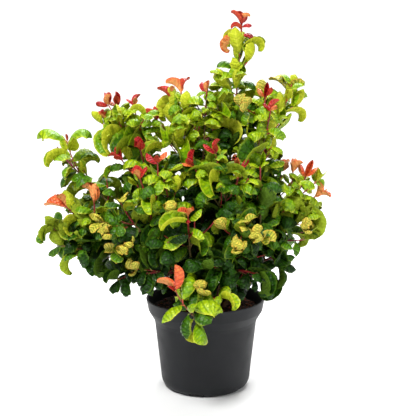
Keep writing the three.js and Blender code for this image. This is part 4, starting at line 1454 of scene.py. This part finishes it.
def tube_group():
    """Geometry nodes that make a closed tube along each line, as thick as the line's own radius."""
    group, source, result = node_group("tubes_along_lines", (("Sides", "Int"), ("Finish", "Material")))
    curves = place_node(group, "GeometryNodeMeshToCurve", {"Mesh": source.outputs["Geometry"]})
    radius = place_node(group, "GeometryNodeInputNamedAttribute", {"Name": "radius"})
    ring = place_node(group, "GeometryNodeCurvePrimitiveCircle", {"Resolution": source.outputs["Sides"]})
    tubes = place_node(group, "GeometryNodeCurveToMesh",
                       {"Curve": curves.outputs["Curve"], "Profile Curve": ring.outputs["Curve"],
                        "Scale": radius.outputs["Attribute"], "Fill Caps": True})
    smooth = place_node(group, "GeometryNodeSetShadeSmooth", {"Geometry": tubes.outputs["Mesh"]})
    real = place_node(group, "GeometryNodeRealizeInstances", {"Geometry": smooth.outputs["Geometry"]})
    done = place_node(group, "GeometryNodeSetMaterial",
                      {"Geometry": real.outputs["Geometry"], "Material": source.outputs["Finish"]})
    group.links.new(done.outputs["Geometry"], result.inputs["Geometry"])
    return group


def tube_piece(name, lines, group, sides, finish):
    """A piece of tubes: lines is a list of places in millimetres and the radius at each."""
    points = np.concatenate([places for places, radii in lines]) * MM
    radii = np.concatenate([radii for places, radii in lines]) * MM
    edges, start = [], 0
    for places, _ in lines:
        edges += [(start + n, start + n + 1) for n in range(len(places) - 1)]
        start += len(places)
    mesh = bpy.data.meshes.new(name)
    mesh.from_pydata(points.tolist(), edges, [])
    mesh.attributes.new("radius", "FLOAT", "POINT").data.foreach_set("value", radii)
    mesh.materials.append(finish)
    piece = add_object(name, mesh)
    run_group(piece, group, {"Sides": sides, "Finish": finish})
    seat(piece, "bark")


def build_shoots(plant, settings, leaf_settings):
    """The shoots, the finer twigs and the stalks of the leaves."""
    young = simple_finish("shoot_young", tuple(settings.young))
    old = simple_finish("shoot_old", tuple(settings.old), srgb(*OLD_SHOOT_PATCHES))
    group = tube_group()
    fresh, aged = [], []
    for line, k in plant["shoots"]:
        along = line.walked / line.length
        radius = SHOOT_RADIUS + (SHOOT_TIP_RADIUS - SHOOT_RADIUS) * along - (SIDE_SHOOT_THINNER if k else 0)
        turns_young = max(line.length - settings.fresh / MM, line.length * OLD_SHARE)
        cut = int(np.searchsorted(line.walked, turns_young))
        aged.append((line.points[: cut + 1], radius[: cut + 1]))
        fresh.append((line.points[cut:], radius[cut:] * settings.young_swell))
    for line in plant["twigs"]:
        radius = settings.twig_radius / MM * (1 - TWIG_TAPER * line.walked / line.length)
        fresh.append((line.points, radius))
    tube_piece("shoots_young", fresh, group, settings.sides, young)
    tube_piece("shoots_old", aged, group, settings.sides, old)
    place, base, length, ahead = leaf_bases(plant["leaves"], leaf_settings.stalk)
    thick = settings.stalk_radius / MM * (THIN_STALK + (1 - THIN_STALK) * length / LEAF_LENGTH)
    stalks = {"stalks_young": [], "stalks_old": []}
    for n, row in enumerate(plant["leaves"]):
        end = base[n] + ahead[n] * STALK_OVERLAP * length[n]
        line = np.array([place[n], (place[n] + base[n]) / 2, end])
        kind = "stalks_old" if row["tint"] in ("green", "dark") else "stalks_young"
        stalks[kind].append((line, thick[n] * np.array(STALK_TAPER)))
    for (name, lines), (finish, colors) in zip(stalks.items(), STALK_COLORS.items()):
        material = simple_finish(finish, *(srgb(*color) for color in colors))
        tube_piece(name, lines, group, settings.stalk_sides, material)


def build_leaves(plant, settings):
    """The leaves, joined by tint into pieces; each tint takes the place of its masses of foliage."""
    faces, sides, places = leaf_faces()
    corners = np.array([v for face in faces for v in face])
    for tint in TINTS:
        chosen = [row for row in plant["leaves"] if row["tint"] == tint]
        light = tuple(getattr(settings, tint))
        finishes = [leaf_finish(tint, light, under) for under in (False, True)]
        nodes = [f"foliage_{name}" for name, mass in plant["masses"].items() if mass["tint"] == tint]
        slot = f"leaf_{tint if tint in SLOT_TINTS else 'lime'}"
        pieces = math.ceil(len(chosen) / PIECE_LEAVES)
        for n in range(pieces):
            rows = chosen[n::pieces]
            points = leaf_points(rows, settings)
            each = points.shape[1]
            all_faces = [[v + i * each for v in face] for i in range(len(rows)) for face in faces]
            piece = mesh_piece(f"leaves_{tint}_{n + 1}", points.reshape(-1, 3), all_faces, finishes,
                               sides * len(rows), smooth_angle=LEAF_SMOOTH)
            layer = piece.data.uv_layers.new(name="leaf")
            layer.data.foreach_set("uv", np.tile(places[corners], (len(rows), 1)).ravel())
            seat(piece, slot, *(nodes if n == 0 else []))


def build_stage(settings):
    """A pale floor that curves up behind the pot, the camera and the studio lights."""
    scene = bpy.context.scene
    camera = add_object("camera", bpy.data.cameras.new("camera"))
    camera.location = (settings.camera_side, -settings.camera_distance, settings.camera_height)
    camera.rotation_euler = (math.pi / 2 - settings.camera_tilt, 0, 0)
    camera.data.lens = settings.lens
    camera.data.sensor_width = SENSOR
    scene.camera = camera
    profile = [(-FLOOR_HALF, 0.0)]
    for n in range(SWEEP_STEPS + 1):
        angle = math.pi / 2 * n / SWEEP_STEPS
        profile.append((SWEEP_START + SWEEP_RADIUS * math.sin(angle), SWEEP_RADIUS * (1 - math.cos(angle))))
    profile.append((SWEEP_START + SWEEP_RADIUS, BACKDROP_HEIGHT))
    points = [(x, y, z) for y, z in profile for x in (-FLOOR_HALF, FLOOR_HALF)]
    faces = [(2 * n, 2 * n + 1, 2 * n + 3, 2 * n + 2) for n in range(len(profile) - 1)]
    finish = Finish("studio_floor", FLOOR_ROUGHNESS, FLOOR_SHINE)
    clouds = finish.ramp(finish.cloud(FLOOR_CLOUDS), *FLOOR_CLOUD_EDGES)
    lighter = tuple(FLOOR_CLOUD_LIGHT * part for part in FLOOR_COLOR)
    finish.color(finish.mix(clouds, FLOOR_COLOR, lighter))
    apart = finish.add("VectorMath", {0: finish.place}, operation="LENGTH").outputs["Value"]
    glow = finish.ramp(apart, BACKDROP_GLOW_FROM, SWEEP_START, 0.0, settings.floor_glow)
    finish.set(finish.shader, {"Emission Color": (1.0, 1.0, 1.0), "Emission Strength": glow})
    floor = mesh_piece("studio_floor", np.array(points) / MM, faces, [finish.material])
    world = bpy.data.worlds.new("studio")
    scene.world = world
    world.use_nodes = True
    world.node_tree.nodes["Background"].inputs["Color"].default_value = (1, 1, 1, 1)
    world.node_tree.nodes["Background"].inputs["Strength"].default_value = settings.world_light
    for name, place, size, power in LAMPS:
        lamp = bpy.data.lights.new(name, "AREA")
        lamp.size = size
        lamp.energy = power * settings.lamp_light
        holder = add_object(name, lamp)
        holder.location = place
        holder.rotation_euler = (Vector(LAMP_AIM) - Vector(place)).to_track_quat("-Z", "Y").to_euler()
    scene.view_settings.view_transform = "Standard"
    scene.view_settings.look = "None"


def as_length(name, description, default):
    """A length that a user may change, in metres."""
    return FloatProperty(name=name, description=description, default=default, min=0, unit="LENGTH",
                         precision=5)


def as_angle(name, description, default):
    """An angle that a user may change."""
    return FloatProperty(name=name, description=description, default=default, unit="ROTATION")


def as_share(name, description, default):
    """A share or a strength that a user may change."""
    return FloatProperty(name=name, description=description, default=default, subtype="FACTOR", min=0,
                         soft_max=2)


def as_count(name, description, default, least=3):
    """A count that a user may change."""
    return IntProperty(name=name, description=description, default=default, min=least)


def as_color(name, description, default):
    """A colour that a user may change, its default given as it looks on a screen."""
    return FloatVectorProperty(name=name, description=description, default=srgb(*default),
                               subtype="COLOR", size=3, min=0, max=1)


class PotSettings(PropertyGroup):
    """Sizes and colour of the pot."""

    rounding: as_length("Corner rounding", "Radius of the rounded corners of rim and foot", 0.0012)
    sides: as_count("Sides", "Faces around the pot", 128)
    color: as_color("Colour", "Main colour of the plastic", (30, 31, 33))


class MixSettings(PropertyGroup):
    """Sizes and colours of the potting mix."""

    sides: as_count("Sides", "Faces around the potting mix", 96)
    rings: as_count("Rings", "Rings of faces over its top", 34)
    roughness: as_length("Unevenness", "Depth of the bumps of its top", 0.0022)
    crumbs: FloatProperty(name="Crumbs", description="Crumbs on each square metre", default=90000, min=0)
    crumb_size: as_length("Crumb size", "Half the length of the largest crumb", 0.0018)
    chips: FloatProperty(name="Bark chips", description="Chips on each square metre", default=9000, min=0)
    chip_size: as_length("Chip size", "Half the length of the largest bark chip", 0.006)
    seed: as_count("Seed", "Changes how crumbs and chips are scattered", 3, least=0)
    color: as_color("Mix colour", "Colour of the potting mix", (60, 38, 27))
    chip_color: as_color("Chip colour", "Colour of the bark chips", (122, 66, 42))


class StemSettings(PropertyGroup):
    """Sizes and colour of the stems' bark."""

    sides: as_count("Sides", "Faces around a stem", 16)
    ring_step: as_length("Ring spacing", "Length between two rings of faces", 0.0014)
    ridge: as_share("Ridges", "Depth of the bark's ridges as a share of the stem's radius", 0.1)
    color: as_color("Colour", "Main colour of the bark", (112, 84, 56))


class ShootSettings(PropertyGroup):
    """Sizes and colours of shoots, twigs and leaf stalks."""

    sides: as_count("Sides", "Faces around a shoot", 8)
    stalk_sides: as_count("Stalk sides", "Faces around a leaf stalk", 6)
    fresh: as_length("Young length", "Length of the red young end of each shoot", 0.045)
    young_swell: as_share("Young swelling", "How much thicker the young end is than in the frame", 1.25)
    twig_radius: as_length("Twig radius", "Radius of the finer twigs", 0.0011)
    stalk_radius: as_length("Stalk radius", "Radius of the stalk of a full-grown leaf", 0.0014)
    young: as_color("Young colour", "Colour of young shoots", (150, 34, 38))
    old: as_color("Old colour", "Colour of older shoots", (112, 104, 48))


class LeafSettings(PropertyGroup):
    """Shape and colours of the leaves; shares are of the leaf's own length."""

    stalk: as_share("Stalk", "Length of the stalk", 0.08)
    width: as_share("Width", "Greatest width of the blade", 0.78)
    curl: as_share("Curl", "How far the blade curls over, 1 is as in the frame", 1.0)
    incurl: as_share("Curl of incurved leaves", "How far they curl up, 1 is as in the frame", 1.7)
    twist: as_angle("Twist", "Greatest turn of the tip", 0.6)
    swerve: as_angle("Swerve", "Greatest bend to one side", 0.9)
    fold: as_angle("Fold", "Turn of each half at the midrib", 0.45)
    arch: as_angle("Arch", "Turn from the midrib to a margin", 0.85)
    cupped: as_share("Cupped leaves", "Share of the leaves that are hollow above", 0.2)
    pucker: as_share("Puckering", "Height of the swellings between two veins", 0.02)
    vein_sweep: as_share("Vein sweep", "How far the veins lean to the tip", 0.16)
    wave: as_share("Waves", "Height of the waves of the margin", 0.008)
    thickness: as_length("Thickness", "Thickness of a full-grown leaf", 0.0007)
    red: as_color("Red", "Colour of the youngest leaves", LEAF_COLORS["red"][0])
    orange: as_color("Orange", "Colour of orange young leaves", LEAF_COLORS["orange"][0])
    gold: as_color("Gold", "Colour of golden young leaves", LEAF_COLORS["gold"][0])
    lime: as_color("Lime", "Colour of fresh leaves", LEAF_COLORS["lime"][0])
    green: as_color("Green", "Colour of full-grown leaves", LEAF_COLORS["green"][0])
    dark: as_color("Dark", "Colour of the leaves inside", LEAF_COLORS["dark"][0])


class StageSettings(PropertyGroup):
    """Place of the camera and strength of the light."""

    camera_side: FloatProperty(name="Camera side", description="Place from left to right", default=0.004,
                               unit="LENGTH")
    camera_distance: as_length("Camera distance", "How far in front of the pot's axis it stands", 1.25)
    camera_height: as_length("Camera height", "Its height over the floor", 0.48)
    camera_tilt: as_angle("Camera tilt", "How far it looks down", math.radians(8.7))
    lens: FloatProperty(name="Lens", description="Focal length", default=69.3, unit="CAMERA")
    lamp_light: as_share("Lamps", "Strength of the lamps", 1.0)
    world_light: as_share("Surround", "Strength of the even light from all sides", 0.24)
    floor_glow: as_share("Floor glow", "Light that the far backdrop gives itself", 0.5)


class LeucothoeSettings(PropertyGroup):
    """All settings of the plant, its pot and the stage."""

    pot: PointerProperty(type=PotSettings)
    mix: PointerProperty(type=MixSettings)
    stems: PointerProperty(type=StemSettings)
    shoots: PointerProperty(type=ShootSettings)
    leaves: PointerProperty(type=LeafSettings)
    stage: PointerProperty(type=StageSettings)


class LEUCOTHOE_OT_stage(Operator):
    """Set up the floor, the camera and the lights"""

    bl_idname = "leucothoe.stage"
    bl_label = "Stage"

    def execute(self, context):
        build_stage(context.scene.leucothoe.stage)
        return {"FINISHED"}


class LEUCOTHOE_OT_pot(Operator):
    """Build the nursery pot"""

    bl_idname = "leucothoe.pot"
    bl_label = "Pot"

    def execute(self, context):
        build_pot(context.scene.leucothoe.pot)
        return {"FINISHED"}


class LEUCOTHOE_OT_potting_mix(Operator):
    """Build the potting mix with its crumbs and bark chips"""

    bl_idname = "leucothoe.potting_mix"
    bl_label = "Potting mix"

    def execute(self, context):
        build_potting_mix(context.scene.leucothoe.mix)
        return {"FINISHED"}


class LEUCOTHOE_OT_stems(Operator):
    """Build the stems with their bark"""

    bl_idname = "leucothoe.stems"
    bl_label = "Stems"

    def execute(self, context):
        build_stems(grow(), context.scene.leucothoe.stems)
        return {"FINISHED"}


class LEUCOTHOE_OT_shoots(Operator):
    """Build the shoots, the twigs and the stalks of the leaves"""

    bl_idname = "leucothoe.shoots"
    bl_label = "Shoots and stalks"

    def execute(self, context):
        settings = context.scene.leucothoe
        build_shoots(grow(), settings.shoots, settings.leaves)
        return {"FINISHED"}


class LEUCOTHOE_OT_leaves(Operator):
    """Build the leaves of every tint"""

    bl_idname = "leucothoe.leaves"
    bl_label = "Leaves"

    def execute(self, context):
        build_leaves(grow(), context.scene.leucothoe.leaves)
        return {"FINISHED"}


# Each step in order: its operator and the settings that it uses
STEPS = (
    ("stage", "stage"),
    ("pot", "pot"),
    ("potting_mix", "mix"),
    ("stems", "stems"),
    ("shoots", "shoots"),
    ("leaves", "leaves"),
)


class LEUCOTHOE_PT_sidebar(Panel):
    """The settings and the operators of the plant"""

    bl_label = "Potted coast leucothoe"
    bl_idname = "LEUCOTHOE_PT_sidebar"
    bl_space_type = "VIEW_3D"
    bl_region_type = "UI"
    bl_category = "Leucothoe"

    def draw(self, context):
        for operator, group in STEPS:
            settings = getattr(context.scene.leucothoe, group)
            box = self.layout.box()
            for name in type(settings).__annotations__:
                box.prop(settings, name)
            box.operator(f"leucothoe.{operator}")


CLASSES = (
    PotSettings, MixSettings, StemSettings, ShootSettings, LeafSettings, StageSettings, LeucothoeSettings,
    LEUCOTHOE_OT_stage, LEUCOTHOE_OT_pot, LEUCOTHOE_OT_potting_mix, LEUCOTHOE_OT_stems,
    LEUCOTHOE_OT_shoots, LEUCOTHOE_OT_leaves, LEUCOTHOE_PT_sidebar,
)


def register():
    """Registers the classes and the settings."""
    for each in CLASSES:
        bpy.utils.register_class(each)
    bpy.types.Scene.leucothoe = PointerProperty(type=LeucothoeSettings)


def unregister():
    """Takes the settings and the classes off again."""
    del bpy.types.Scene.leucothoe
    for each in reversed(CLASSES):
        bpy.utils.unregister_class(each)


def main():
    """Builds everything in order."""
    register()
    for operator, _ in STEPS:
        getattr(bpy.ops.leucothoe, operator)()


if __name__ == "__main__":
    main()
